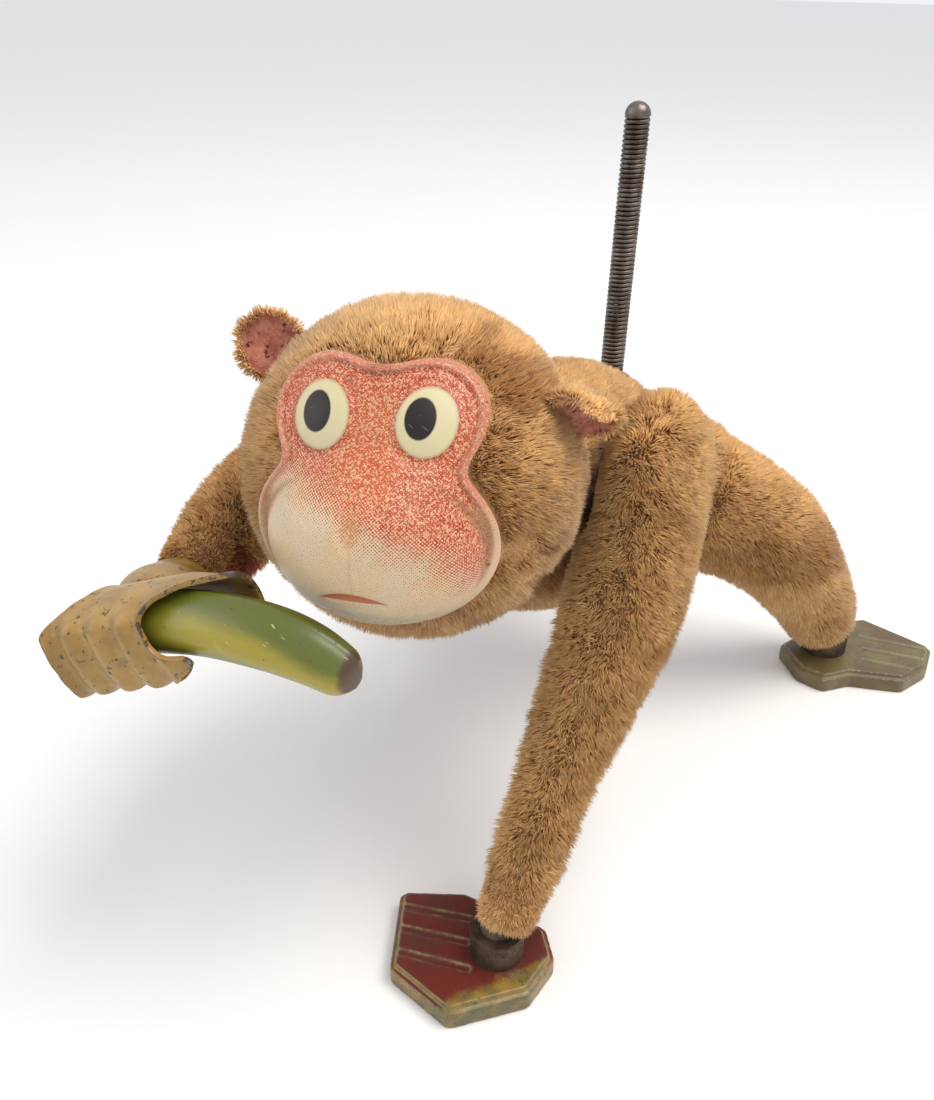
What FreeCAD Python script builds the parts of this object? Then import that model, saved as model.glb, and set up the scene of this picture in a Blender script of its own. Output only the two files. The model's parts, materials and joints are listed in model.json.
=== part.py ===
"""Clockwork plush-and-tin monkey that crawls on all fours and lifts a banana to its mouth.

Millimetres.  The monkey faces -Y, its left side is +X, +Z is up and the floor is Z = 0.
Every node of the assembly is one entry of the dictionary that main() writes out.
"""
import FreeCAD, Part
import math
import os

# Shell and cover thicknesses
TIN = 0.6
PLUSH = 2.7
GAP = 0.7                 # air between plush surfaces of neighbouring bodies
RUN = 0.05                # radial clearance of a running fit

# Head
HEAD_X, HEAD_Y, HEAD_Z = 0.0, -40.0, 89.4
HEAD_R = 27.9
HEAD_YAW = 18.0           # the head looks to its left
HEAD_PITCH = 16.0         # and slightly up
NECK_TILT = 40.0          # the neck leans forward from the vertical
NECK_STUD_R, NECK_COLLAR_R = 2.5, 4.0
EAR_R = 6.4
EAR_T = 1.6
LINING_T = 0.5
EAR_RIM = 1.3

# Face plate, in the head's own frame
FACE_STAND = 0.3          # height of the plate over the plush
LOBE_X, LOBE_Z, LOBE_R = 7.3, 11.6, 8.0
MUZZLE_X, MUZZLE_Z = 17.8, 14.4
MUZZLE_DROP = 5.7
DOME = (14.2, 10.6, 11.6)
DOME_Y, DOME_Z = -23.6, -7.4

# Torso: an egg that leans down to the rear
TORSO_Y, TORSO_Z = 14.0, 63.5
TORSO = (22.0, 44.0, 26.5)
TORSO_LEAN = -16.0
YOKE_X, YOKE_Y, YOKE_Z = 22.0, -3.0, 77.0
YOKE_R, YOKE_ROUND = 16.0, 6.0

# Shoulders and arms
SHOULDER_X, SHOULDER_Y, SHOULDER_Z = 30.0, -6.0, 79.0
CAP = (10.5, 17.5, 17.5)
ARM_CORE_R = 3.2
SHAFT_R = 1.5
HUB_R = 3.2
WRIST_X, WRIST_Y, WRIST_Z = 24.2, -54.5, 9.5
LEVER_Y, LEVER_Z = -4.6, 72.6
COLLAR_TOP = 10.5         # height of the wrist and ankle collars

# Hips and legs
HIP_X, HIP_Y, HIP_Z = 22.0, 44.0, 54.0
HIP_R = 17.0
ANKLE_X, ANKLE_Y, ANKLE_Z = 51.3, 71.4, 10.0

# Paws and feet are stampings this high
STAMP_H = 4.6
BASE_T = 0.5
WALL = 0.5

# Banana and the hand round it
BANANA_R = 4.9
HAND_R = 7.0
HAND_LENGTH = 22.0
FINGERS = 4
HAND_TURN = 60.0

# Tail
TAIL_X, TAIL_Y, TAIL_BASE = 0.0, 40.8, 77.5
TAIL_LEAN = 1.9           # towards the left side
TAIL_R = 2.6
TAIL_TOP = 136.5
WIRE_R = 0.45
BALL_R = 1.6
SOCKET_R = 4.2
TAIL_ROOM = 0.8           # room for the tail to lean, round its socket

# Clockwork
MODULE = 0.5
GREAT_TEETH, CRANK_PINION_TEETH = 48, 12
SECOND_TEETH, FAN_PINION_TEETH = 40, 10
MESH_GAP = 0.05
ARBOR_Y, ARBOR_Z = 16.0, 62.0
CRANK_ANGLE = 140.0       # direction from the arbor to the crank shaft
FAN_ANGLE = 200.0         # direction from the crank shaft to the fan
PLATE_X = 8.0
PLATE_T = 0.8
CRANK_R = 2.5
FAN_R = 5.5


def vec(x, y, z):
    return FreeCAD.Vector(x, y, z)


ORIGIN = vec(0, 0, 0)
AXIS_X = vec(1, 0, 0)
AXIS_Z = vec(0, 0, 1)
HEAD = vec(HEAD_X, HEAD_Y, HEAD_Z)
NECK = vec(0, -math.sin(math.radians(NECK_TILT)), math.cos(math.radians(NECK_TILT)))


def ball(centre, radius):
    return Part.makeSphere(radius, centre)


def ellipsoid(centre, semi, lean=0.0):
    scale = FreeCAD.Matrix()
    scale.scale(*semi)
    body = Part.makeSphere(1.0).transformGeometry(scale)
    body.rotate(ORIGIN, AXIS_X, lean)
    body.translate(centre)
    return body


def rod(start, end, radius):
    return Part.makeCylinder(radius, (end - start).Length, start, end - start)


def tube(start, end, outer, inner):
    return rod(start, end, outer).cut(rod(start, end, inner))


def limb(path, radii):
    """Loft round sections along a bent path."""
    rings = []
    for i, centre in enumerate(path):
        before = path[max(i - 1, 0)]
        after = path[min(i + 1, len(path) - 1)]
        rings.append(Part.Wire([Part.makeCircle(radii[i], centre, after - before)]))
    return Part.makeLoft(rings, True)


def cross_shaft(x0, x1, y, z, radius):
    """A rod along X."""
    return rod(vec(x0, y, z), vec(x1, y, z), radius)


def on_cross_shaft(shape, x, y, z):
    """Turn a shape built along Z so that it lies along X, and place it."""
    shape.rotate(ORIGIN, vec(1, 1, 1), 120)
    shape.translate(vec(x, y, z))
    return shape


def half_space(side):
    """A large box that covers X > 0 for side 1 and X < 0 for side -1."""
    size = 400.0
    start = 0.0 if side > 0 else -size
    return Part.makeBox(size, size, size, vec(start, -size / 2, -size / 2))


def largest(shape):
    return max(shape.Solids, key=lambda solid: solid.Volume)


# ---------------------------------------------------------------- torso

def torso_solid(inset):
    """The torso egg drawn in by inset, with a dish in front that clears the head."""
    semi = [half - inset for half in TORSO]
    egg = ellipsoid(vec(0, TORSO_Y, TORSO_Z), semi, TORSO_LEAN)
    yoke = cross_shaft(-YOKE_X + inset, YOKE_X - inset, YOKE_Y, YOKE_Z, YOKE_R - inset)
    round_end = [edge for edge in yoke.Edges if abs(edge.CenterOfMass.x) > 1]
    yoke = yoke.makeFillet(YOKE_ROUND - inset / 2, round_end)
    return egg.fuse(yoke).cut(ball(HEAD, HEAD_R + GAP + inset))


def torso_parts():
    outer = torso_solid(0)
    middle = torso_solid(PLUSH)
    inner = torso_solid(PLUSH + TIN)
    shoulder = cross_shaft(-60, 60, SHOULDER_Y, SHOULDER_Z, HUB_R + 0.4)
    hip = cross_shaft(-60, 60, HIP_Y, HIP_Z, HUB_R)
    arbor = cross_shaft(-60, 0, ARBOR_Y, ARBOR_Z, SHAFT_R + 0.6)
    neck = rod(HEAD - NECK * 40, HEAD, NECK_STUD_R)
    tail_low = vec(TAIL_X, TAIL_Y, TAIL_BASE - 14)
    tail_high = vec(TAIL_X, TAIL_Y, TAIL_BASE + 20)
    shell = middle.cut(inner).cut(rod(tail_low, tail_high, SOCKET_R))
    cover = outer.cut(middle).cut(rod(tail_low, tail_high, SOCKET_R + TAIL_ROOM))
    for opening in (shoulder, hip, arbor, neck):
        shell = shell.cut(opening)
        cover = cover.cut(opening)
    return {
        "torso_shell_left": shell.common(half_space(1)),
        "torso_shell_right": shell.common(half_space(-1)),
        "torso_plush": cover,
    }


def neck_parts():
    """A headed stud through the dish, and the clip that keeps the head on it."""
    flange_start = HEAD_R + GAP + PLUSH + TIN + 0.05
    head = rod(HEAD - NECK * (flange_start + 1.2), HEAD - NECK * flange_start, 3.8)
    shank = rod(HEAD - NECK * flange_start, HEAD - NECK * 20.0, NECK_STUD_R)
    clip = tube(HEAD - NECK * 21.9, HEAD - NECK * 21.1, 4.4, NECK_STUD_R)
    return {"neck_stud": head.fuse(shank), "neck_clip": clip}


def tail_parts():
    """Close-wound spring tail on a ball that sits in a socket on the rump."""
    pivot = vec(TAIL_X, TAIL_Y, TAIL_BASE)
    socket = rod(pivot - AXIS_Z * 9.5, pivot + AXIS_Z * 0.9, SOCKET_R)
    socket = socket.fuse(rod(pivot - AXIS_Z * 10.3, pivot - AXIS_Z * 9.5, SOCKET_R + 0.9))
    socket = socket.cut(ball(pivot, BALL_R + RUN))
    mouth = Part.makeCone(1.2, 2.4, 2.2, pivot, AXIS_Z)
    socket = socket.cut(mouth)
    stem = ball(pivot, BALL_R).fuse(rod(pivot, pivot + AXIS_Z * 9.0, 1.1))
    seat = rod(pivot + AXIS_Z * 2.6, pivot + AXIS_Z * 9.0, TAIL_R - 2 * WIRE_R)
    start = TAIL_BASE + 2.6
    turns = int((TAIL_TOP - TAIL_R - start) / (2 * WIRE_R))
    inner = TAIL_R - 2 * WIRE_R
    edges = []
    for i in range(turns):
        low = vec(TAIL_R - WIRE_R, 0, start + 2 * WIRE_R * i)
        out = vec(TAIL_R, 0, low.z + WIRE_R)
        high = vec(low.x, 0, low.z + 2 * WIRE_R)
        edges.append(Part.Arc(low, out, high).toShape())
    top = vec(TAIL_R - WIRE_R, 0, start + 2 * WIRE_R * turns)
    corners = [top, vec(inner, 0, top.z), vec(inner, 0, start), vec(TAIL_R - WIRE_R, 0, start)]
    for a, b in zip(corners, corners[1:]):
        edges.append(Part.LineSegment(a, b).toShape())
    coil = Part.Face(Part.Wire(edges)).revolve(ORIGIN, AXIS_Z, 360)
    coil.translate(vec(TAIL_X, TAIL_Y, 0))
    dome_centre = vec(TAIL_X, TAIL_Y, top.z)
    dome = ball(dome_centre, TAIL_R).common(rod(dome_centre, dome_centre + AXIS_Z * 10, 5))
    parts = {
        "tail_stem": stem.fuse(seat),
        "tail_spring": coil,
        "tail_cap": dome.fuse(rod(dome_centre - AXIS_Z * 2, dome_centre, inner)),
    }
    for shape in parts.values():
        shape.rotate(pivot, vec(0, 1, 0), TAIL_LEAN)
    parts["tail_socket"] = socket
    return parts


# ---------------------------------------------------------------- clockwork

def polar(y, z, distance, angle):
    return (y + distance * math.cos(math.radians(angle)),
            z + distance * math.sin(math.radians(angle)))


def pitch_radius(teeth):
    return MODULE * teeth / 2


def involute(angle):
    return math.tan(angle) - angle


def gear(teeth, width, bore, phase):
    """Spur gear about Z; phase is the direction of one tooth in degrees."""
    pressure = math.radians(20)
    pitch = pitch_radius(teeth)
    base = pitch * math.cos(pressure)
    root = pitch - 1.2 * MODULE
    tip = pitch + 0.8 * MODULE
    half_tooth = math.pi / (2 * teeth) - 0.03 / pitch
    flank = []
    for radius in (max(base, root), (base + pitch) / 2, pitch, (pitch + tip) / 2, tip):
        angle = math.acos(min(1.0, base / radius))
        flank.append((radius, half_tooth + involute(pressure) - involute(angle)))
    points = []
    for tooth in range(teeth):
        middle = math.radians(phase) + 2 * math.pi * tooth / teeth
        points.append(polar_point(root, middle - flank[0][1] - 0.2 / teeth))
        for radius, offset in flank:
            points.append(polar_point(radius, middle - offset))
        for radius, offset in reversed(flank):
            points.append(polar_point(radius, middle + offset))
        points.append(polar_point(root, middle + flank[0][1] + 0.2 / teeth))
    blank = Part.Face(Part.makePolygon(points + points[:1])).extrude(vec(0, 0, width))
    return blank.cut(Part.makeCylinder(bore, width, ORIGIN, AXIS_Z))


def polar_point(radius, angle):
    return vec(radius * math.cos(angle), radius * math.sin(angle), 0)


def meshed_phase(teeth, mate_phase, mate_teeth, direction):
    """Tooth direction that puts a gap of this gear opposite a tooth of its mate.

    direction points from the mate to this gear, in degrees.
    """
    steps = (direction - mate_phase) / (360.0 / mate_teeth)
    remainder = steps - round(steps)
    return direction + 180 + (0.5 + remainder) * 360.0 / teeth


CRANK_Y, CRANK_Z = polar(ARBOR_Y, ARBOR_Z,
                         pitch_radius(GREAT_TEETH + CRANK_PINION_TEETH) + MESH_GAP, CRANK_ANGLE)
FAN_Y, FAN_Z = polar(CRANK_Y, CRANK_Z,
                     pitch_radius(SECOND_TEETH + FAN_PINION_TEETH) + MESH_GAP, FAN_ANGLE)
PILLARS = ((17.0, 78.5), (28.0, 54.0), (0.0, 54.5))
PLATE_OUTLINE = ((-9.5, 80), (-12, 72), (-12, 63), (-3, 51.5), (24, 50), (30, 56), (30, 69),
                 (14, 81.5), (-3, 83.5))


def frame_parts():
    """Two side plates, the pillars between them and the pillar screws."""
    corners = [vec(0, y, z) for y, z in PLATE_OUTLINE]
    plate = Part.Face(Part.makePolygon(corners + corners[:1])).extrude(vec(PLATE_T, 0, 0))
    for y, z, radius in ((ARBOR_Y, ARBOR_Z, SHAFT_R + RUN), (CRANK_Y, CRANK_Z, 1.0 + RUN),
                         (FAN_Y, FAN_Z, 0.8 + RUN), (SHOULDER_Y, SHOULDER_Z, SHAFT_R)):
        plate = plate.cut(cross_shaft(-1, 2, y, z, radius))
    for y, z in PILLARS:
        plate = plate.cut(cross_shaft(-1, 2, y, z, 0.7))
    left = plate.copy()
    left.translate(vec(PLATE_X, 0, 0))
    right = plate.copy()
    right.translate(vec(-PLATE_X - PLATE_T, 0, 0))
    pillars = []
    screws = []
    for y, z in PILLARS:
        pillar = cross_shaft(-PLATE_X, PLATE_X, y, z, 1.3)
        for side in (-1, 1):
            face = side * (PLATE_X + PLATE_T)
            shank = cross_shaft(side * (PLATE_X - 3), face, y, z, 0.7)
            head = cross_shaft(face, face + side * 0.6, y, z, 1.3)
            slot = Part.makeBox(0.3, 2.8, 0.4, vec(face + side * 0.45 - 0.15, y - 1.4, z - 0.2))
            pillar = pillar.cut(shank)
            screws.append(shank.fuse(head).cut(slot))
        pillars.append(pillar)
    return {
        "motor_plate_left": left,
        "motor_plate_right": right,
        "motor_pillars": Part.makeCompound(pillars),
        "pillar_screws": Part.makeCompound(screws),
        "shoulder_shaft": cross_shaft(-31, 31, SHOULDER_Y, SHOULDER_Z, SHAFT_R),
        "hip_shaft": cross_shaft(-25, 25, HIP_Y, HIP_Z, SHAFT_R),
    }


def mainspring():
    """A flat spiral strip round the arbor, wound outwards."""
    turns = 4.5
    inner, outer, strip = 3.2, 9.6, 0.45
    steps = int(turns * 12)
    sides = []
    for offset in (0.0, strip):
        points = []
        for i in range(steps + 1):
            radius = inner + offset + (outer - inner - strip) * i / steps
            points.append(polar_point(radius, 2 * math.pi * turns * i / steps))
        curve = Part.BSplineCurve()
        curve.interpolate(points)
        sides.append((points, curve.toShape()))
    ends = []
    for index in (0, -1):
        ends.append(Part.LineSegment(sides[0][0][index], sides[1][0][index]).toShape())
    outline = Part.Wire(Part.__sortEdges__([sides[0][1], ends[0], sides[1][1], ends[1]]))
    strip_solid = Part.Face(outline).extrude(vec(0, 0, 5.0))
    return on_cross_shaft(strip_solid, 0.8, ARBOR_Y, ARBOR_Z)


def winder_parts():
    """Key, arbor, ratchet and great wheel turn together as the toy runs."""
    arbor = cross_shaft(-34.0, PLATE_X + PLATE_T + 0.4, ARBOR_Y, ARBOR_Z, SHAFT_R)
    arbor = arbor.fuse(cross_shaft(0.6, 6.0, ARBOR_Y, ARBOR_Z, 2.6))
    wheel = on_cross_shaft(gear(GREAT_TEETH, 1.0, SHAFT_R, 0), -5.2, ARBOR_Y, ARBOR_Z)
    for spoke in range(4):
        y, z = polar(ARBOR_Y, ARBOR_Z, 7.6, 90 * spoke + 45)
        wheel = wheel.cut(cross_shaft(-6, -4, y, z, 2.6))
    teeth = 12
    points = []
    for tooth in range(teeth):
        angle = 2 * math.pi * tooth / teeth
        points.append(polar_point(4.5, angle))
        points.append(polar_point(3.3, angle + 0.02))
    saw = Part.Face(Part.makePolygon(points + points[:1])).extrude(vec(0, 0, 0.8))
    saw = saw.cut(Part.makeCylinder(SHAFT_R, 1, ORIGIN, AXIS_Z))
    ratchet = on_cross_shaft(saw, -4.0, ARBOR_Y, ARBOR_Z)
    pivot_y, pivot_z = polar(ARBOR_Y, ARBOR_Z, 7.4, 0)
    click = cross_shaft(-4.2, -3.3, pivot_y, pivot_z, 1.1)
    arm = Part.makeBox(0.8, 1.1, 4.0, vec(-4.1, ARBOR_Y + 5.0, ARBOR_Z - 4.0))
    click = click.fuse(arm).fuse(Part.makeBox(0.8, 2.4, 1.1, vec(-4.1, ARBOR_Y + 5.0, ARBOR_Z - 0.6)))
    shank = cross_shaft(-33.8, -25.0, ARBOR_Y, ARBOR_Z, 2.4)
    shank = shank.cut(cross_shaft(-34, -25, ARBOR_Y, ARBOR_Z, SHAFT_R))
    wings = []
    for side in (-1, 1):
        wing = cross_shaft(-33.6, -32.4, ARBOR_Y + side * 5.0, ARBOR_Z, 4.6)
        wings.append(wing.cut(cross_shaft(-34, -32, ARBOR_Y + side * 5.4, ARBOR_Z, 1.9)))
    key = shank.fuse(wings[0]).fuse(wings[1]).cut(cross_shaft(-34, -25, ARBOR_Y, ARBOR_Z, SHAFT_R))
    return {"winding_key": key, "winding_arbor": arbor, "great_wheel": wheel,
            "ratchet_wheel": ratchet, "click": click}


def crank_and_fan_parts():
    """Crank shaft with its pinion and second wheel, and the fan that holds the speed."""
    pinion_phase = meshed_phase(CRANK_PINION_TEETH, 0, GREAT_TEETH, CRANK_ANGLE)
    fan_phase = meshed_phase(FAN_PINION_TEETH, 0, SECOND_TEETH, FAN_ANGLE)
    shaft = cross_shaft(-PLATE_X - PLATE_T - 1.3, PLATE_X + PLATE_T + 1.3, CRANK_Y, CRANK_Z, 1.0)
    pinion = on_cross_shaft(gear(CRANK_PINION_TEETH, 2.2, 1.0, pinion_phase), -5.8, CRANK_Y, CRANK_Z)
    second = on_cross_shaft(gear(SECOND_TEETH, 1.0, 1.0, 0), -2.2, CRANK_Y, CRANK_Z)
    for spoke in range(4):
        y, z = polar(CRANK_Y, CRANK_Z, 6.0, 90 * spoke + 45)
        second = second.cut(cross_shaft(-3, -1, y, z, 2.0))
    cranks = []
    for side in (-1, 1):
        start = side * (PLATE_X + PLATE_T + 0.4)
        disc = cross_shaft(start, start + side * 0.8, CRANK_Y, CRANK_Z, CRANK_R + 1.0)
        disc = disc.cut(cross_shaft(start, start + side, CRANK_Y, CRANK_Z, 1.0))
        pin = cross_shaft(start, start + side * 1.5, CRANK_Y, CRANK_Z + side * CRANK_R, 0.6)
        cranks.append(disc.fuse(pin))
    fan_shaft = cross_shaft(-PLATE_X - PLATE_T, PLATE_X + PLATE_T, FAN_Y, FAN_Z, 0.8)
    fan_pinion = on_cross_shaft(gear(FAN_PINION_TEETH, 2.2, 0.8, fan_phase), -2.8, FAN_Y, FAN_Z)
    blades = Part.makeBox(3.2, 2 * FAN_R, 0.5, vec(2.0, FAN_Y - FAN_R, FAN_Z - 0.25))
    blades = blades.fuse(cross_shaft(2.0, 5.2, FAN_Y, FAN_Z, 1.5))
    blades = blades.cut(cross_shaft(1, 6, FAN_Y, FAN_Z, 0.8))
    return {
        "crank_shaft": shaft.fuse(pinion),
        "second_wheel": second,
        "crank_discs": Part.makeCompound(cranks),
        "fan_shaft": fan_shaft.fuse(fan_pinion),
        "fan_blades": blades,
    }


# ---------------------------------------------------------------- head

def in_head(shape):
    """Move a shape from the head's own frame, face towards -Y, to its place."""
    shape.rotate(ORIGIN, AXIS_X, -HEAD_PITCH)
    shape.rotate(ORIGIN, AXIS_Z, HEAD_YAW)
    shape.translate(HEAD)
    return shape


def face_prism(margin):
    """The face outline, grown by margin, as a prism in front of the head's centre."""
    front = 60.0

    def disc(x, z, radius):
        return Part.makeCylinder(radius, front, vec(x, 0, z), vec(0, -1, 0))

    scale = FreeCAD.Matrix()
    scale.scale(MUZZLE_X + margin, front, MUZZLE_Z + margin)
    muzzle = Part.makeCylinder(1, 1, ORIGIN, vec(0, -1, 0)).transformGeometry(scale)
    muzzle.translate(vec(0, 0, -MUZZLE_DROP))
    width = LOBE_X + LOBE_R - 1.6 + margin
    bridge = Part.makeBox(2 * width, front, LOBE_Z + 2, vec(-width, -front, -2))
    brow = Part.makeBox(2 * LOBE_X, front, 5 + margin, vec(-LOBE_X, -front, LOBE_Z - 0.5))
    prism = muzzle.fuse(bridge).fuse(brow)
    for side in (-1, 1):
        prism = prism.fuse(disc(side * LOBE_X, LOBE_Z, LOBE_R + margin))
    return prism


def face_front(inset):
    """The solid whose front is the face: the head's roundness with the muzzle dome."""
    base = ball(ORIGIN, HEAD_R + FACE_STAND - inset)
    dome = ellipsoid(vec(0, DOME_Y, DOME_Z), [half - inset for half in DOME])
    return base.fuse(dome)


def ear(centre, normal, radius, start, thickness):
    """A round ear across normal, trimmed where it meets the head."""
    disc = Part.makeCylinder(radius, thickness, centre + normal * start, normal)
    return largest(disc.cut(ball(ORIGIN, HEAD_R)))


EAR_RIGHT = (vec(-24.4, -2.5, 19.4), vec(0, -1, 0))
EAR_LEFT = (vec(29.0, -3.0, 11.5), vec(0.25, -0.70, -0.67))


def head_parts():
    shell_outer = HEAD_R - PLUSH
    shell = ball(ORIGIN, shell_outer).cut(ball(ORIGIN, shell_outer - TIN))
    front_half = Part.makeBox(200, 100, 200, vec(-100, -100, -100))
    plush = ball(ORIGIN, HEAD_R).cut(ball(ORIGIN, shell_outer)).cut(face_prism(0.4))
    face = face_front(0).cut(face_front(TIN)).common(face_prism(0))
    face = largest(face)
    tabs = []
    slots = []
    for x, z in ((-13, 11), (13, 11), (-12, -14), (12, -14)):
        depth = math.sqrt(HEAD_R ** 2 - x * x - z * z)
        tabs.append(Part.makeBox(2.0, 6.0, 0.5, vec(x - 1.0, -depth, z - 0.25)))
        slots.append(Part.makeBox(2.4, 8.0, 0.9, vec(x - 1.2, -depth, z - 0.45)))
    for tab, slot in zip(tabs, slots):
        face = face.fuse(tab)
        shell = shell.cut(slot)
    parts = {
        "head_shell_front": shell.common(front_half),
        "head_shell_back": shell.cut(front_half),
        "head_plush": plush,
        "face_plate": face,
        "ear_right": ear(*EAR_RIGHT, EAR_R, -EAR_T, EAR_T),
        "ear_left": ear(*EAR_LEFT, EAR_R, -EAR_T, EAR_T),
        "ear_linings": Part.makeCompound([ear(*EAR_RIGHT, EAR_R - EAR_RIM, 0, LINING_T),
                                          ear(*EAR_LEFT, EAR_R - EAR_RIM, 0, LINING_T)]),
    }
    for node in parts:
        parts[node] = in_head(parts[node])
    collar_hole = rod(HEAD - NECK * 40, HEAD, NECK_COLLAR_R)
    for node in ("head_shell_front", "head_shell_back", "head_plush"):
        parts[node] = parts[node].cut(collar_hole)
    collar = rod(HEAD - NECK * (HEAD_R - 0.4), HEAD - NECK * 22.3, NECK_COLLAR_R)
    collar = collar.fuse(rod(HEAD - NECK * 23.4, HEAD - NECK * 22.3, 6.6))
    collar = collar.cut(rod(HEAD - NECK * 40, HEAD, NECK_STUD_R + RUN))
    parts["neck_collar"] = collar
    return parts


# ---------------------------------------------------------------- hands and feet

def outline_prism(points, corner, inset, low, high):
    """A prism on a polygon whose corners are rounded, drawn in by inset."""
    corners = [vec(x, y, 0) for x, y in points]
    wire = Part.makePolygon(corners + corners[:1])
    wire = wire.makeOffset2D(-corner).makeOffset2D(corner - inset)
    prism = Part.Face(wire).extrude(vec(0, 0, high - low))
    prism.translate(vec(0, 0, low))
    return prism


def stamping(points, grooves):
    """A paw pressed from tin and the plate that closes it from below."""
    top = outline_prism(points, 2.0, 0, 0, STAMP_H - 1.0)
    top = top.fuse(outline_prism(points, 2.0, 1.0, 0, STAMP_H))
    for start, end in grooves:
        low = vec(start[0], start[1], STAMP_H + 0.7)
        high = vec(end[0], end[1], STAMP_H + 0.7)
        top = top.cut(rod(low, high, 1.2))
    top = top.cut(outline_prism(points, 2.0, WALL, 0, STAMP_H - 1.5))
    base = outline_prism(points, 2.0, WALL, 0, BASE_T)
    return top, base


PAW = ((-23, 3.4), (-15, -12.6), (-1, -15.8), (9.2, -5), (9.8, 4), (5.3, 9.4), (-12, 9.2))
PAW_GROOVES = (((-24, -1), (-7, 4)), ((-22, -5.5), (-5, -1)), ((-19, -10), (-2, -6)))
FOOT = ((-10, -4), (-3, -12), (4, -13.5), (9, -8), (21, -4), (25, 5), (24.5, 14), (6, 19),
        (-5, 9))
FOOT_GROOVES = (((10, -1), (27, 1.5)), ((9, 4.0), (27, 7)), ((7, 9), (27, 12.2)))


def placed(shape, x, y):
    shape.translate(vec(x, y, 0))
    return shape


# ---------------------------------------------------------------- arms

def arm_hub(side):
    """A tube on the shoulder shaft with the lever that the crank rod works."""
    start = side * (PLATE_X + PLATE_T + 0.5)
    hub = cross_shaft(start, side * 30, SHOULDER_Y, SHOULDER_Z, HUB_R)
    lever_x = start if side > 0 else start - 0.8
    lever_length = math.hypot(LEVER_Y - SHOULDER_Y, LEVER_Z - SHOULDER_Z)
    lever = Part.makeBox(0.8, 2.0, lever_length, vec(0, -1.0, -lever_length))
    lever = lever.fuse(cross_shaft(0, 0.8, 0, -lever_length, 1.0))
    lean = math.degrees(math.atan2(LEVER_Y - SHOULDER_Y, SHOULDER_Z - LEVER_Z))
    lever.rotate(ORIGIN, AXIS_X, lean)
    lever.translate(vec(lever_x, SHOULDER_Y, SHOULDER_Z))
    pin = cross_shaft(start, start + side * 2.5, LEVER_Y, LEVER_Z, 0.5)
    hub = hub.fuse(lever).fuse(pin)
    return hub.cut(cross_shaft(-31, 31, SHOULDER_Y, SHOULDER_Z, SHAFT_R + RUN))


def crank_rod(side):
    """The link from the lever to the crank pin; its far eye stands just off the pin."""
    near = side * (PLATE_X + PLATE_T + 2.2)
    far = near + side * 0.6
    pin_z = CRANK_Z + side * CRANK_R
    link = cross_shaft(near, far, LEVER_Y, LEVER_Z, 1.1).fuse(
        cross_shaft(near, far, CRANK_Y, pin_z, 1.3))
    length = math.hypot(CRANK_Y - LEVER_Y, pin_z - LEVER_Z)
    bar = Part.makeBox(0.6, length, 1.2, vec(min(near, far), 0, -0.6))
    bar.rotate(ORIGIN, AXIS_X, math.degrees(math.atan2(pin_z - LEVER_Z, CRANK_Y - LEVER_Y)))
    bar.translate(vec(0, LEVER_Y, LEVER_Z))
    link = link.fuse(bar)
    link = link.cut(cross_shaft(near, far, CRANK_Y, pin_z, 0.65))
    return link.cut(cross_shaft(near, far, LEVER_Y, LEVER_Z, 0.5))


def arm(side, path, radii, core_path):
    """Tin core and plush sleeve of one arm."""
    shoulder = vec(side * SHOULDER_X, SHOULDER_Y, SHOULDER_Z)
    bore = cross_shaft(side * 10, side * 30, SHOULDER_Y, SHOULDER_Z, HUB_R)
    shaft_end = cross_shaft(side * 29, side * 31.5, SHOULDER_Y, SHOULDER_Z, SHAFT_R + 0.3)
    core = cross_shaft(side * 25, side * 32, SHOULDER_Y, SHOULDER_Z, HUB_R + 1.8)
    for start, end in zip(core_path, core_path[1:]):
        core = core.fuse(rod(start, end, ARM_CORE_R)).fuse(ball(end, ARM_CORE_R))
    core = core.cut(bore).cut(shaft_end)
    sleeve = ellipsoid(shoulder, CAP).fuse(limb(path, radii))
    for joint, radius in zip(path[1:-1], radii[1:-1]):
        sleeve = sleeve.fuse(ball(joint, radius - 0.1))
    inner_face = Part.makeBox(22.6, 400, 400, vec(0 if side > 0 else -22.6, -200, -200))
    sleeve = sleeve.cut(inner_face)
    return core, largest(sleeve.cut(core).cut(bore).cut(shaft_end))


def left_arm_parts():
    shoulder = vec(29.0, SHOULDER_Y, SHOULDER_Z)
    wrist = vec(WRIST_X, WRIST_Y, WRIST_Z)
    path = [vec(31.0, -9, 75), vec(29.5, -22, 56), vec(27.0, -38, 34), vec(24.5, -53, 12.5)]
    core, sleeve = arm(1, path, [12.6, 10.8, 8.4, 7.6], [shoulder, wrist])
    top, base = stamping(PAW, PAW_GROOVES)
    collar = rod(vec(WRIST_X, WRIST_Y, STAMP_H), vec(WRIST_X, WRIST_Y, COLLAR_TOP), 4.9)
    collar = collar.cut(core).cut(sleeve)
    return {
        "left_arm_hub": arm_hub(1),
        "left_crank_rod": crank_rod(1),
        "left_arm_core": core,
        "left_arm_plush": sleeve,
        "left_wrist_collar": largest(collar),
        "left_paw_top": placed(top, WRIST_X, WRIST_Y),
        "left_paw_base": placed(base, WRIST_X, WRIST_Y),
    }


BANANA_PATH = ((-39.5, -83.2, 67.8), (-33, -82.0, 71.0), (-24, -80.4, 74.8), (-13, -78.8, 77.4),
               (-3, -77.4, 78.0), (5, -76.2, 76.8), (12.5, -75.2, 73.8))
BANANA_RADII = (1.0, 3.6, BANANA_R - 0.2, BANANA_R, BANANA_R, 4.2, 1.6)


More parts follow.
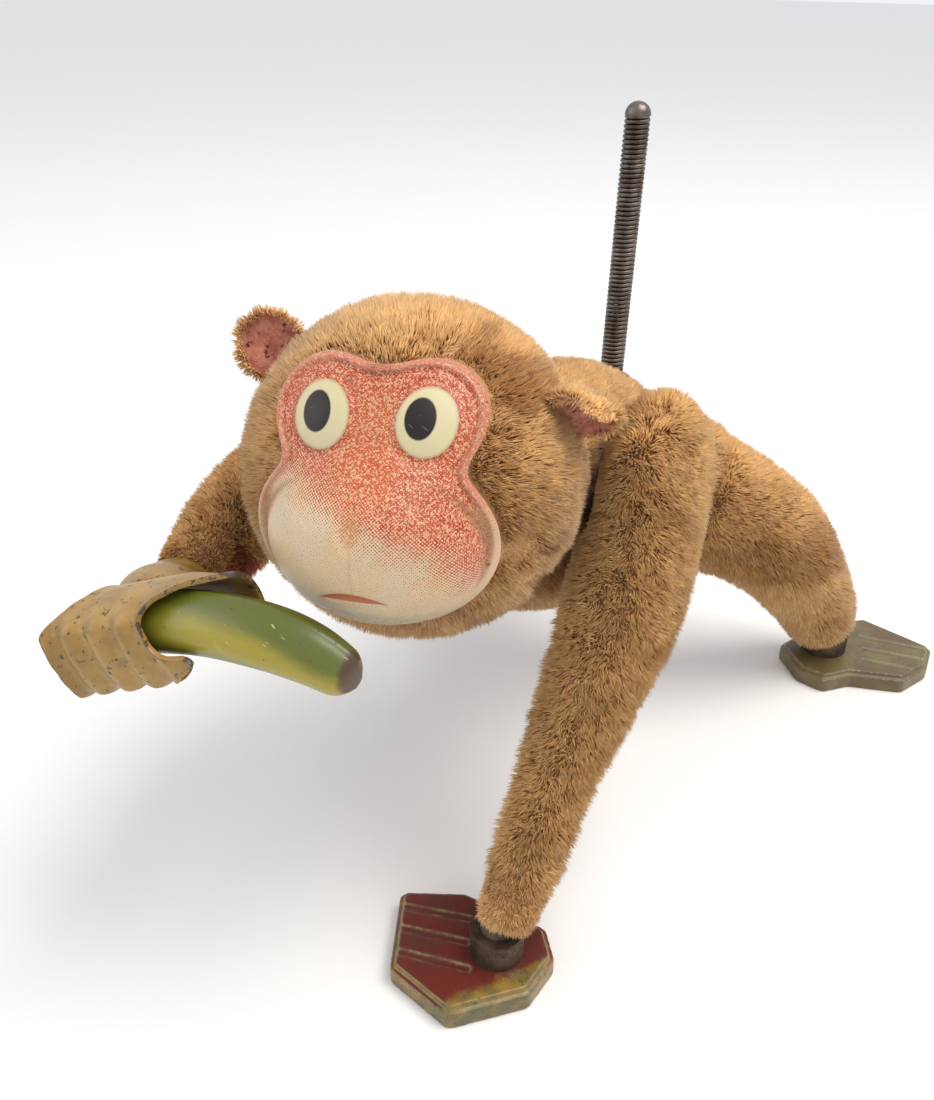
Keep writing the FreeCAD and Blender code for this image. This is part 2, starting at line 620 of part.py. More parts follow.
def banana_parts():
    """Two pressed halves, joined along the middle."""
    path = [vec(*point) for point in BANANA_PATH]
    skin = limb(path, BANANA_RADII)
    skin = skin.cut(limb(path, [max(radius - TIN, 0.3) for radius in BANANA_RADII]))
    along = path[-1] - path[0]
    level = vec(along.x, along.y, 0)
    front = Part.makeBox(400, 200, 400, vec(-200, -200, -200))
    front.rotate(ORIGIN, AXIS_Z, math.degrees(math.atan2(level.y, level.x)))
    front.translate(path[3])
    return {"banana_front": skin.common(front), "banana_back": skin.cut(front)}


def right_hand():
    """Fingers curled round the banana, ridged between them, and the back of the hand."""
    grip = vec(-25.3, -80.9, 72.6)
    along = vec(0.90, 0.15, 0.41)
    start = -HAND_LENGTH / 2
    pitch = HAND_LENGTH / FINGERS
    edges = []
    for i in range(FINGERS):
        a = vec(HAND_R + 0.8, 0, start + pitch * i)
        b = vec(HAND_R + 1.7, 0, start + pitch * (i + 0.5))
        c = vec(HAND_R + 0.8, 0, start + pitch * (i + 1))
        edges.append(Part.Arc(a, b, c).toShape())
    corners = [c, vec(HAND_R, 0, c.z), vec(HAND_R, 0, start), vec(HAND_R + 0.8, 0, start)]
    for a, b in zip(corners, corners[1:]):
        edges.append(Part.LineSegment(a, b).toShape())
    curl = Part.Face(Part.Wire(edges)).revolve(ORIGIN, AXIS_Z, 250)
    turn = FreeCAD.Rotation(AXIS_Z, along)
    curl.rotate(ORIGIN, AXIS_Z, HAND_TURN)
    curl.Placement = FreeCAD.Placement(grip, turn).multiply(curl.Placement)
    return curl


def right_arm_parts():
    shoulder = vec(-29.0, SHOULDER_Y, SHOULDER_Z)
    elbow = vec(-38.5, -37, 70.5)
    wrist = vec(-33.5, -63, 68.5)
    path = [vec(-32, -9, 77.5), vec(-36.5, -24, 74), vec(-38.5, -38, 70.5), vec(-36, -52, 69),
            vec(-34, -60, 68.6)]
    core, sleeve = arm(-1, path, [13.5, 11.5, 10.0, 8.4, 7.8], [shoulder, elbow, wrist])
    fingers = right_hand()
    palm = limb([vec(-33.8, -61.5, 68.6), vec(-32.0, -67, 69.3), vec(-30.0, -72.0, 70.6)],
                [4.6, 6.0, 5.0])
    path_banana = [vec(*point) for point in BANANA_PATH]
    clear = limb(path_banana, [radius + 0.02 for radius in BANANA_RADII])
    palm = palm.cut(core).cut(sleeve).cut(fingers).cut(clear)
    parts = {
        "right_arm_hub": arm_hub(-1),
        "right_crank_rod": crank_rod(-1),
        "right_arm_core": core,
        "right_arm_plush": sleeve,
        "right_hand_fingers": fingers,
        "right_hand_palm": largest(palm),
    }
    parts.update(banana_parts())
    return parts


# ---------------------------------------------------------------- legs

def leg_sleeve(side):
    """The outer form of one leg: a round hip that runs into a bent limb."""
    path = [vec(side * 22, 45.5, 51), vec(side * 36, 54.5, 41.5), vec(side * 45.5, 65, 24.5),
            vec(side * 50.3, 70.5, 12.5)]
    hip = ball(vec(side * 19.5, HIP_Y + 0.5, HIP_Z - 1), HIP_R)
    return hip.fuse(limb(path, [15.4, 13.8, 10.8, 9.0]))


def leg_parts_of(side):
    hip = vec(side * 21.0, HIP_Y, HIP_Z)
    ankle = vec(side * ANKLE_X, ANKLE_Y, ANKLE_Z)
    hub = tube(vec(side * 11.0, HIP_Y, HIP_Z), vec(side * 26.0, HIP_Y, HIP_Z),
               HUB_R - 0.4, SHAFT_R + RUN)
    bore = cross_shaft(side * 10, side * 26, HIP_Y, HIP_Z, HUB_R - 0.4)
    core = cross_shaft(side * 18, side * 25.8, HIP_Y, HIP_Z, HUB_R + 1.2)
    core = core.fuse(rod(hip, ankle, ARM_CORE_R)).cut(bore)
    leg = leg_sleeve(side).cut(torso_solid(-1.0)).cut(half_space(-side))
    core = largest(core.cut(torso_solid(-1.0)))
    plush = largest(leg.cut(core).cut(bore))
    foot = [(side * x, y) for x, y in FOOT]
    grooves = [((side * a, b), (side * c, d)) for (a, b), (c, d) in FOOT_GROOVES]
    top, base = stamping(foot, grooves)
    collar = rod(vec(ankle.x, ankle.y, STAMP_H), vec(ankle.x, ankle.y, COLLAR_TOP), 5.6)
    return {
        "leg_core": core.fuse(hub),
        "leg_plush": plush,
        "ankle_collar": largest(collar.cut(core).cut(plush)),
        "foot_top": placed(top, ankle.x, ankle.y),
        "foot_base": placed(base, ankle.x, ankle.y),
    }


def leg_parts():
    parts = {}
    for side, prefix in ((1, "left_"), (-1, "right_")):
        for name, shape in leg_parts_of(side).items():
            parts[prefix + name] = shape
    return parts


# ---------------------------------------------------------------- all of it

def main():
    os.makedirs("parts", exist_ok=True)
    nodes = {"mainspring": mainspring()}
    for group in (torso_parts, neck_parts, tail_parts, frame_parts, winder_parts,
                  crank_and_fan_parts, head_parts, left_arm_parts, right_arm_parts, leg_parts):
        nodes.update(group())
    for name, shape in nodes.items():
        shape.exportStep("parts/" + name + ".step")
        print(name, len(shape.Solids), round(shape.Volume, 1), shape.isValid())
    print(len(nodes), "nodes")


main()
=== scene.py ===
"""Looks of the clockwork monkey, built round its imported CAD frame.

Lengths are metres in the CAD row frame: the monkey faces -Y, its left is +X, the floor is Z = 0.
"""
import json
import math
import bmesh
import bpy
import numpy as np
from mathutils import Matrix, Vector


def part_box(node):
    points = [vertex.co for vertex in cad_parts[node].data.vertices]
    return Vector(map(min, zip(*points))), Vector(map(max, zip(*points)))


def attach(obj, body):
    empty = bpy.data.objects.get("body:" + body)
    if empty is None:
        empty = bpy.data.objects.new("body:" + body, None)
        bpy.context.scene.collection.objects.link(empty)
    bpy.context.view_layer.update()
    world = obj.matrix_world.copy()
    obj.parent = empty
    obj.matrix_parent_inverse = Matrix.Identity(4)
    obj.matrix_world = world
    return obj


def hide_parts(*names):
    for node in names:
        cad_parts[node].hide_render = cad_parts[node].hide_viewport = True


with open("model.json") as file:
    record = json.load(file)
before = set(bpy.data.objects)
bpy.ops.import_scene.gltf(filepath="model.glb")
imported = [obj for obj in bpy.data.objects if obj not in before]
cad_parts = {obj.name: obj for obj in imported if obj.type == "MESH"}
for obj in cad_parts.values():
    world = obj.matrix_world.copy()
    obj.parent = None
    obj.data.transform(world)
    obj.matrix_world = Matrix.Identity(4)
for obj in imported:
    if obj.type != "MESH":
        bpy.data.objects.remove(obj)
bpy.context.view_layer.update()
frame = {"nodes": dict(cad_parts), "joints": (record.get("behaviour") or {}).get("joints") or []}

MM = 0.001
SEED = 7

CAMERA_AT = (0.086, -0.1723, 0.165)
CAMERA_AZIMUTH = 30.0
CAMERA_PITCH = -30.0
CAMERA_LENS = 35.25

HEAD_YAW = 18.0
HEAD_PITCH = 16.0


def joint_at(name):
    joint = next(joint for joint in frame["joints"] if joint["name"] == name)
    return np.array(joint["pos_m"], float)


def middle(node):
    low_corner, high_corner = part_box(node)
    return (np.array(low_corner) + np.array(high_corner)) / 2


HEAD = joint_at("head_turn")
head_low, head_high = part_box("head_plush")
HEAD_R = (head_high[0] - head_low[0]) / 2


# ---------------------------------------------------------------- noise and vectors

def unit(vectors):
    length = np.linalg.norm(vectors, axis=-1, keepdims=True)
    return vectors / np.maximum(length, 1e-12)


def lattice(cells, seed):
    """A repeatable number from 0 to 1 for every lattice point."""
    mixed = cells[..., 0] * 73856093 ^ cells[..., 1] * 19349663 ^ cells[..., 2] * 83492791
    mixed = (mixed ^ (seed * 2654435761)) & 0x7FFFFFFF
    mixed = (mixed ^ (mixed >> 13)) * 1274126177 & 0x7FFFFFFF
    return ((mixed ^ (mixed >> 16)) & 0xFFFF) / 65535.0


def noise(points, scale, seed=0):
    """Smooth value noise from 0 to 1; scale is the size of its cells in metres."""
    scaled = np.asarray(points, float) / scale + 1000.0
    cell = np.floor(scaled).astype(np.int64)
    part = scaled - cell
    part = part * part * (3 - 2 * part)
    total = np.zeros(scaled.shape[:-1])
    for corner in range(8):
        step = np.array([corner & 1, corner >> 1 & 1, corner >> 2 & 1])
        weight = np.prod(np.where(step, part, 1 - part), axis=-1)
        total += weight * lattice(cell + step, seed)
    return total


def noise_vector(points, scale, seed=0):
    return np.stack([noise(points, scale, seed + i) for i in range(3)], axis=-1) * 2 - 1


def smooth_step(low_edge, high_edge, value):
    part = np.clip((value - low_edge) / (high_edge - low_edge), 0, 1)
    return part * part * (3 - 2 * part)


def head_matrix():
    """From the head's own frame, face towards -Y and centre at the origin, to the row frame."""
    yaw = Matrix.Rotation(math.radians(HEAD_YAW), 4, "Z")
    pitch = Matrix.Rotation(math.radians(-HEAD_PITCH), 4, "X")
    return Matrix.Translation(Vector(HEAD)) @ yaw @ pitch


# ---------------------------------------------------------------- meshes

TUBE_TIP = 0.2            # how far a tube's tips stand out, in its radii

def new_object(name, vertices, faces):
    mesh = bpy.data.meshes.new(name)
    mesh.from_pydata([tuple(vertex) for vertex in vertices], [], [tuple(face) for face in faces])
    mesh.validate()
    shape = bmesh.new()
    shape.from_mesh(mesh)
    bmesh.ops.recalc_face_normals(shape, faces=shape.faces)
    shape.to_mesh(mesh)
    shape.free()
    mesh.update()
    piece = bpy.data.objects.new(name, mesh)
    bpy.context.collection.objects.link(piece)
    mesh.shade_smooth()
    return piece


def vertex_array(mesh):
    points = np.empty(len(mesh.vertices) * 3)
    mesh.vertices.foreach_get("co", points)
    return points.reshape(-1, 3)


def set_vertices(mesh, points):
    mesh.vertices.foreach_set("co", np.asarray(points, float).ravel())
    mesh.update()


def baked(piece):
    """Apply all modifiers of a piece."""
    depsgraph = bpy.context.evaluated_depsgraph_get()
    mesh = bpy.data.meshes.new_from_object(piece.evaluated_get(depsgraph))
    mesh.name = piece.name
    piece.modifiers.clear()
    piece.data = mesh
    mesh.shade_smooth()
    return piece


def ball_mesh(centre, semi, lean=0.0, rows=24, columns=36):
    """Vertices and faces of an ellipsoid that leans about X, in degrees."""
    vertices = []
    faces = []
    turn = np.array(Matrix.Rotation(math.radians(lean), 3, "X"))
    for i in range(1, rows):
        height = math.pi * i / rows
        for j in range(columns):
            around = 2 * math.pi * j / columns
            point = np.array([math.sin(height) * math.cos(around),
                              math.sin(height) * math.sin(around), math.cos(height)])
            vertices.append(np.array(centre) + turn @ (point * semi))
    for i in range(rows - 2):
        for j in range(columns):
            a = i * columns + j
            b = i * columns + (j + 1) % columns
            faces.append((a, a + columns, b + columns, b))
    top = len(vertices)
    vertices.append(np.array(centre) + turn @ (np.array([0, 0, 1]) * semi))
    vertices.append(np.array(centre) - turn @ (np.array([0, 0, 1]) * semi))
    last = (rows - 2) * columns
    for j in range(columns):
        faces.append((top, j, (j + 1) % columns))
        faces.append((top + 1, last + (j + 1) % columns, last + j))
    return vertices, faces


def curve_through(points, steps):
    """Catmull-Rom points through the given ones."""
    points = [np.array(point, float) for point in points]
    padded_points = [2 * points[0] - points[1]] + points + [2 * points[-1] - points[-2]]
    out = []
    for i in range(1, len(padded_points) - 2):
        p0, p1, p2, p3 = padded_points[i - 1:i + 3]
        for step in range(steps):
            t = step / steps
            out.append(0.5 * (2 * p1 + (p2 - p0) * t + (2 * p0 - 5 * p1 + 4 * p2 - p3) * t * t
                              + (3 * p1 - p0 - 3 * p2 + p3) * t ** 3))
    out.append(points[-1])
    return np.array(out)


def frames_along(path):
    """Tangent, side and up vectors along a path."""
    tangent = unit(np.gradient(path, axis=0))
    side = unit(np.cross(tangent, (0, 0, 1.0)))
    return tangent, side, np.cross(side, tangent)


def tube_faces(rings, columns):
    """Faces of a closed tube: rings of vertices, then the tip at its start and the tip at its end."""
    faces = []
    for i in range(rings - 1):
        for j in range(columns):
            a = i * columns + j
            b = i * columns + (j + 1) % columns
            faces.append((a, b, b + columns, a + columns))
    tip = rings * columns
    last = tip - columns
    for j in range(columns):
        faces.append((tip, (j + 1) % columns, j))
        faces.append((tip + 1, last + j, last + (j + 1) % columns))
    return faces


def tube_mesh(path, radii, columns=32, flat=1.0):
    """A closed tube along a path; flat scales it sideways, once or ring by ring."""
    tangent, side, over = frames_along(path)
    flat = np.broadcast_to(flat, len(path))
    vertices = []
    for i, centre in enumerate(path):
        for j in range(columns):
            around = 2 * math.pi * j / columns
            vertices.append(centre + radii[i] * (math.cos(around) * side[i] * flat[i]
                                                 + math.sin(around) * over[i]))
    vertices.append(path[0] - tangent[0] * radii[0] * TUBE_TIP)
    vertices.append(path[-1] + tangent[-1] * radii[-1] * TUBE_TIP)
    return vertices, tube_faces(len(path), columns)


def soft_form(name, shapes, voxel=0.9 * MM, rounds=10):
    """Melt several closed shapes into one smooth closed skin."""
    vertices = []
    faces = []
    for shape_vertices, shape_faces in shapes:
        start = len(vertices)
        vertices += list(shape_vertices)
        faces += [tuple(start + index for index in face) for face in shape_faces]
    piece = new_object(name, vertices, faces)
    remesh = piece.modifiers.new("melt", "REMESH")
    remesh.mode = "VOXEL"
    remesh.voxel_size = voxel
    smooth = piece.modifiers.new("smooth", "SMOOTH")
    smooth.factor = 0.5
    smooth.iterations = rounds
    return baked(piece)


def finish_piece(piece, material, body, slot, *nodes):
    """Its material, the body it rides and the CAD nodes it stands in for; slot is not used."""
    piece.data.materials.clear()
    piece.data.materials.append(material)
    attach(piece, body)
    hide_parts(*nodes)


# ---------------------------------------------------------------- materials

def node_material(name, roughness=0.6, metallic=0.0):
    material = bpy.data.materials.new(name)
    material.use_nodes = True
    shader = material.node_tree.nodes["Principled BSDF"]
    shader.inputs["Roughness"].default_value = roughness
    shader.inputs["Metallic"].default_value = metallic
    return material


def plain_fibre(name, colour):
    """One dye shade of the mohair; the pile mixes several of them strand by strand."""
    material = node_material(name, roughness=0.85)
    shader = material.node_tree.nodes["Principled BSDF"]
    shader.inputs["Base Color"].default_value = (*colour, 1)
    shader.inputs["Sheen Weight"].default_value = 0.15
    shader.inputs["Sheen Roughness"].default_value = 0.45
    shader.inputs["Specular IOR Level"].default_value = 0.25
    return material


PILE_DARK = np.array((0.370, 0.160, 0.045))
PILE_LIGHT = np.array((0.900, 0.550, 0.225))
PILE_SHADES = 8
PILE_RED = (0.34, 0.09, 0.05)
pile_materials = []
for shade in range(PILE_SHADES):
    share = shade / (PILE_SHADES - 1)
    pile_materials.append(plain_fibre("pile_%d" % shade, PILE_DARK * (1 - share) + PILE_LIGHT * share))
pile_materials.append(plain_fibre("pile_red", PILE_RED))


class Tree:
    """Short names for adding nodes to a material."""

    def __init__(self, material):
        self.nodes = material.node_tree.nodes
        self.links = material.node_tree.links
        self.shader = self.nodes["Principled BSDF"]

    def put(self, socket, value):
        if hasattr(value, "is_linked"):
            self.links.new(value, socket)
        elif isinstance(value, (tuple, list)) and len(value) == 3 and socket.type == "RGBA":
            socket.default_value = (*value, 1)
        else:
            socket.default_value = value

    def maths(self, operation, a, b=0.0):
        node = self.nodes.new("ShaderNodeMath")
        node.operation = operation
        self.put(node.inputs[0], a)
        self.put(node.inputs[1], b)
        return node.outputs[0]

    def colour(self, value):
        self.put(self.shader.inputs["Base Color"], value)

    def rough(self, value):
        self.put(self.shader.inputs["Roughness"], value)

    def coat(self, weight, roughness):
        self.shader.inputs["Coat Weight"].default_value = weight
        self.shader.inputs["Coat Roughness"].default_value = roughness

    def plus(self, a, b):
        return self.maths("ADD", a, b)

    def minus(self, a, b):
        return self.maths("SUBTRACT", a, b)

    def times(self, a, b):
        return self.maths("MULTIPLY", a, b)

    def over(self, a, b):
        return self.maths("DIVIDE", a, b)

    def larger(self, a, b):
        return self.maths("MAXIMUM", a, b)

    def place(self):
        node = self.nodes.new("ShaderNodeTexCoord")
        return node.outputs["Object"]

    def mapped(self, vector, location=(0, 0, 0), rotation=(0, 0, 0), scale=(1, 1, 1)):
        node = self.nodes.new("ShaderNodeMapping")
        node.vector_type = "TEXTURE"
        self.put(node.inputs["Vector"], vector)
        node.inputs["Location"].default_value = location
        node.inputs["Rotation"].default_value = rotation
        node.inputs["Scale"].default_value = scale
        return node.outputs[0]

    def separate(self, vector):
        node = self.nodes.new("ShaderNodeSeparateXYZ")
        self.put(node.inputs[0], vector)
        return node.outputs[0], node.outputs[1], node.outputs[2]

    def noise(self, vector, scale, detail=3.0, rough=0.5):
        node = self.nodes.new("ShaderNodeTexNoise")
        self.put(node.inputs["Vector"], vector)
        node.inputs["Scale"].default_value = scale
        node.inputs["Detail"].default_value = detail
        node.inputs["Roughness"].default_value = rough
        return node.outputs["Fac"]

    def cells(self, vector, scale):
        node = self.nodes.new("ShaderNodeTexVoronoi")
        self.put(node.inputs["Vector"], vector)
        node.inputs["Scale"].default_value = scale
        return node.outputs["Distance"]

    def ramp(self, value, low_edge, high_edge):
        """0 below low_edge, 1 above high_edge, smooth between; the edges may be reversed."""
        node = self.nodes.new("ShaderNodeMapRange")
        node.interpolation_type = "SMOOTHSTEP"
        self.put(node.inputs["Value"], value)
        flip = low_edge > high_edge
        node.inputs["From Min"].default_value = min(low_edge, high_edge)
        node.inputs["From Max"].default_value = max(low_edge, high_edge)
        node.inputs["To Min"].default_value = 1.0 if flip else 0.0
        node.inputs["To Max"].default_value = 0.0 if flip else 1.0
        return node.outputs[0]

    def mix(self, share, a, b):
        node = self.nodes.new("ShaderNodeMix")
        node.data_type = "RGBA"
        self.put(node.inputs["Factor"], share)
        colour_inputs = [socket for socket in node.inputs if socket.type == "RGBA"]
        self.put(colour_inputs[0], a)
        self.put(colour_inputs[1], b)
        return [socket for socket in node.outputs if socket.type == "RGBA"][0]

    def bump(self, height, distance, strength=1.0):
        node = self.nodes.new("ShaderNodeBump")
        node.inputs["Strength"].default_value = strength
        node.inputs["Distance"].default_value = distance
        self.put(node.inputs["Height"], height)
        self.put(self.shader.inputs["Normal"], node.outputs[0])


def cloth_backing():
    """The woven ground under the pile."""
    material = node_material("cloth_backing", roughness=0.95)
    tree = Tree(material)
    place = tree.place()
    blotch = tree.noise(place, 90.0, 4.0)
    weave = tree.cells(place, 1500.0)
    ground = tree.mix(tree.ramp(blotch, 0.35, 0.65), (0.30, 0.145, 0.055), (0.46, 0.25, 0.10))
    tree.colour(ground)
    tree.shader.inputs["Sheen Weight"].default_value = 0.3
    tree.bump(weave, 0.0003, 0.6)
    return material


# ---------------------------------------------------------------- pile

STRANDS_PER_PIECE = 49000


def surface_samples(skin, per_square_mm, rng):
    """Random points and normals, evenly spread over a skin."""
    mesh = skin.data
    mesh.calc_loop_triangles()
    corners = np.empty(len(mesh.loop_triangles) * 3, np.int64)
    mesh.loop_triangles.foreach_get("vertices", corners)
    corners = corners.reshape(-1, 3)
    points = vertex_array(mesh)
    normals = np.empty(len(mesh.vertices) * 3)
    mesh.vertex_normals.foreach_get("vector", normals)
    normals = normals.reshape(-1, 3)
    a, b, c = (points[corners[:, i]] for i in range(3))
    areas = np.linalg.norm(np.cross(b - a, c - a), axis=1) / 2
    count = int(areas.sum() / MM ** 2 * per_square_mm)
    chosen = rng.choice(len(areas), count, p=areas / areas.sum())
    u = np.sqrt(rng.random(count))
    v = rng.random(count)
    weights = np.stack([1 - u, u * (1 - v), u * v], axis=1)
    place = np.einsum("ij,ijk->ik", weights, points[corners[chosen]])
    normal = unit(np.einsum("ij,ijk->ik", weights, normals[corners[chosen]]))
    return place, normal


def strand_mesh(name, roots, tips, width, shades):
    """Thin closed spikes, one tetrahedron to a strand."""
    count = len(roots)
    along = unit(tips - roots)
    helper = np.where(np.abs(along[:, 2:3]) < 0.9, [[0.0, 0.0, 1.0]], [[1.0, 0.0, 0.0]])
    side = unit(np.cross(along, helper))
    over = np.cross(along, side)
    vertices = np.empty((count, 4, 3))
    for corner in range(3):
        angle = 2 * math.pi * corner / 3
        vertices[:, corner] = roots + width[:, None] / 2 * (math.cos(angle) * side
                                                            + math.sin(angle) * over)
    vertices[:, 3] = tips
    pattern = np.array([(0, 2, 1), (0, 1, 3), (1, 2, 3), (2, 0, 3)])
    faces = (np.arange(count)[:, None, None] * 4 + pattern).reshape(-1, 3)
    mesh = bpy.data.meshes.new(name)
    mesh.vertices.add(count * 4)
    mesh.vertices.foreach_set("co", vertices.ravel())
    mesh.loops.add(len(faces) * 3)
    mesh.loops.foreach_set("vertex_index", faces.ravel())
    mesh.polygons.add(len(faces))
    mesh.polygons.foreach_set("loop_start", np.arange(len(faces)) * 3)
    for material in pile_materials:
        mesh.materials.append(material)
    mesh.polygons.foreach_set("material_index", np.repeat(shades, 4))
    mesh.update(calc_edges=True)
    mesh.shade_smooth()
    piece = bpy.data.objects.new(name, mesh)
    bpy.context.collection.objects.link(piece)
    return piece


def grow_pile(name, skin, body, comb, shade, length=2.6 * MM, per_square_mm=10.0, width=0.36 * MM,
              lean=0.40, trim=None, seed=1):
    """Cover a skin with strands.

    comb gives the way the pile lies at each point, shade a value from 0, dark, to 1, light
    (above 1 for the bare red cloth), and trim a share of the full length, 0 for none.
    """
    rng = np.random.default_rng(SEED + seed)
    place, normal = surface_samples(skin, per_square_mm, rng)
    share = np.ones(len(place)) if trim is None else trim(place, normal)
    kept = share > 0.08
    place, normal, share = place[kept], normal[kept], share[kept]
    direction = unit(normal + lean * comb(place, normal) + 0.50 * noise_vector(place, 1.4 * MM, seed)
                     + 0.14 * rng.normal(size=place.shape))
    tall = length * share * (0.72 + 0.30 * noise(place, 2.2 * MM, seed + 5) + 0.22 * rng.random(len(place)))
    roots = place - direction * 0.25 * MM
    tips = place + direction * tall[:, None]
    tone = shade(place, normal) + 0.16 * rng.normal(size=len(place))
    tone += 0.35 * (noise(place, 1.1 * MM, seed + 9) - 0.5)
    red = shade(place, normal) > 1.5
    shades = np.clip((tone * PILE_SHADES).astype(int), 0, PILE_SHADES - 1)
    shades[red] = PILE_SHADES
    widths = width * (0.75 + 0.5 * rng.random(len(place)))
    parts = max(1, math.ceil(len(place) / STRANDS_PER_PIECE))
    pieces = []
    for part in range(parts):
        pick = slice(part, None, parts)
        piece = strand_mesh("%s_%d" % (name, part + 1), roots[pick], tips[pick], widths[pick], shades[pick])
        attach(piece, body)
        pieces.append(piece)
    return pieces


def add_skin(skin, body, node):
    finish_piece(skin, backing, body, "plush", node)


backing = cloth_backing()


# ---------------------------------------------------------------- plush pieces

SKIN_INSET = 2.3 * MM
TO_HEAD = head_matrix()
FROM_HEAD = TO_HEAD.inverted()
FACE_WAY = np.array(TO_HEAD.to_3x3() @ Vector((0, -1, 0)))


def in_head(points):
    """Row-frame points in the head's own frame."""
    turn = np.array(FROM_HEAD.to_3x3())
    return (points - HEAD) @ turn.T


def in_face(points):
    """Row-frame points in the face plate's frame, in its own millimetres."""
    return in_head(points) / (MM * FACE_SCALE)


def blotches(points, seed, size=9 * MM):
    """Faded and worn areas of the pile, about 0.5 in the middle."""
    broad = noise(points, size, seed)
    fine = noise(points, size * 0.4, seed + 3)
    return 0.7 * broad + 0.3 * fine


# The face outline in the head's frame, millimetres
FACE_SCALE = np.array((1.04, 1.0, 1.02))
LOBE_X, LOBE_Z, LOBE_R = 7.0, 11.2, 7.5
MUZZLE_X, MUZZLE_Z, MUZZLE_MIDDLE = 17.2, 13.6, -6.0
BRIDGE_R, BRIDGE_Z = 12.0, 5.4
MUZZLE_WEIGHT = 14.0      # turns a share of the muzzle's ellipse into millimetres
OUTLINE_SHARP = 1.1       # how sharply the outline's three shapes meet


def outline_field(x, z):
    """Below 0 inside the face outline; about a distance in millimetres."""
    lobes = np.minimum(np.hypot(x - LOBE_X, z - LOBE_Z), np.hypot(x + LOBE_X, z - LOBE_Z)) - LOBE_R
    muzzle = (np.hypot(x / MUZZLE_X, (z - MUZZLE_MIDDLE) / MUZZLE_Z) - 1) * MUZZLE_WEIGHT
    bridge = np.hypot(x, z - BRIDGE_Z) - BRIDGE_R
    total = sum(np.exp(-OUTLINE_SHARP * part) for part in (lobes, muzzle, bridge))
    return -np.log(total) / OUTLINE_SHARP


def face_clear(points):
    """0 on the face plate, 1 a little way outside it."""
    local = in_face(points)
    outside = smooth_step(-0.6, 0.5, outline_field(local[:, 0], local[:, 2]))
    return np.where(local[:, 1] < 0, outside, 1.0)


NECK_WAY = np.array([0, -math.sin(math.radians(40)), math.cos(math.radians(40))])


def make_head():
    radius = HEAD_R - SKIN_INSET
    vertices, faces = ball_mesh(HEAD, (radius, radius, radius * 0.995), rows=72, columns=108)
    skin = new_object("head_cloth", vertices, faces)

    def comb(points, normals):
        away = -FACE_WAY + 0.25 * np.array([0, 0, -1.0])
        return away - normals * (normals @ away)[:, None]

    def shade(points, normals):
        local = in_face(points)
        near_face = smooth_step(5.5, 0.0, outline_field(local[:, 0], local[:, 2])) * (local[:, 1] < 0)
        crown = smooth_step(8, 24, local[:, 2])
        worn = smooth_step(0.62, 0.74, noise(points, 6 * MM, 31)) * (local[:, 0] > 8)
        base = 0.57 + 0.55 * (blotches(points, 11) - 0.5) + 0.10 * crown
        return base - 0.22 * near_face - 0.35 * worn

    def trim(points, normals):
        local = in_face(points)
        rim = smooth_step(0.0, 4.0, outline_field(local[:, 0], local[:, 2]))
        rim = np.where(local[:, 1] < 0, 0.62 + 0.38 * rim, 1.0)
        moth = smooth_step(3.6, 2.0, np.hypot(local[:, 0] - 18.5, local[:, 2] + 8.0)
                           + 2.5 * (noise(points, 2.2 * MM, 77) - 0.5))
        moth = np.maximum(moth, smooth_step(3.0, 1.6, np.hypot(local[:, 0] - 19.5, local[:, 2] + 14.0)
                                            + 2.5 * (noise(points, 2.0 * MM, 78) - 0.5)))
        moth = moth * (local[:, 1] < 0)
        neck = smooth_step(6 * MM, 8 * MM, np.linalg.norm(np.cross(points - HEAD, NECK_WAY), axis=1))
        neck = np.where((points - HEAD) @ NECK_WAY < 0, neck, 1.0)
        return face_clear(points) * rim * (1 - 0.8 * moth) * neck

    add_skin(skin, "head", "head_plush")
    grow_pile("head_pile", skin, "head", comb, shade, trim=trim, per_square_mm=13.0, seed=1)


TORSO_AT = np.array((0, 14.0, 63.5)) * MM
TORSO_SEMI = np.array((22.0, 44.0, 26.5)) * MM
TORSO_LEAN = -16.0
YOKE_AT = np.array((0, -3.0, 77.0)) * MM
YOKE_R = 16.0 * MM
YOKE_X = 22.0 * MM
NAPE_AT = np.array((0, -14.0, 82.0)) * MM
NAPE_SEMI = np.array((22.5, 14.0, 15.5)) * MM
SHOULDER = joint_at("left_arm_swing")
HIP = joint_at("left_leg_swing")
TAIL = joint_at("tail_flex")
WINDER = joint_at("winder_spin")


def keep_out(points, centre, radius):
    """Push points out of a sphere."""
    away = points - centre
    distance = np.linalg.norm(away, axis=1, keepdims=True)
    return np.where(distance < radius, centre + away / np.maximum(distance, 1e-9) * radius, points)


def ring_distance(points, place):
    """Distance from a line along X through a place."""
    return np.hypot(points[:, 1] - place[1], points[:, 2] - place[2])


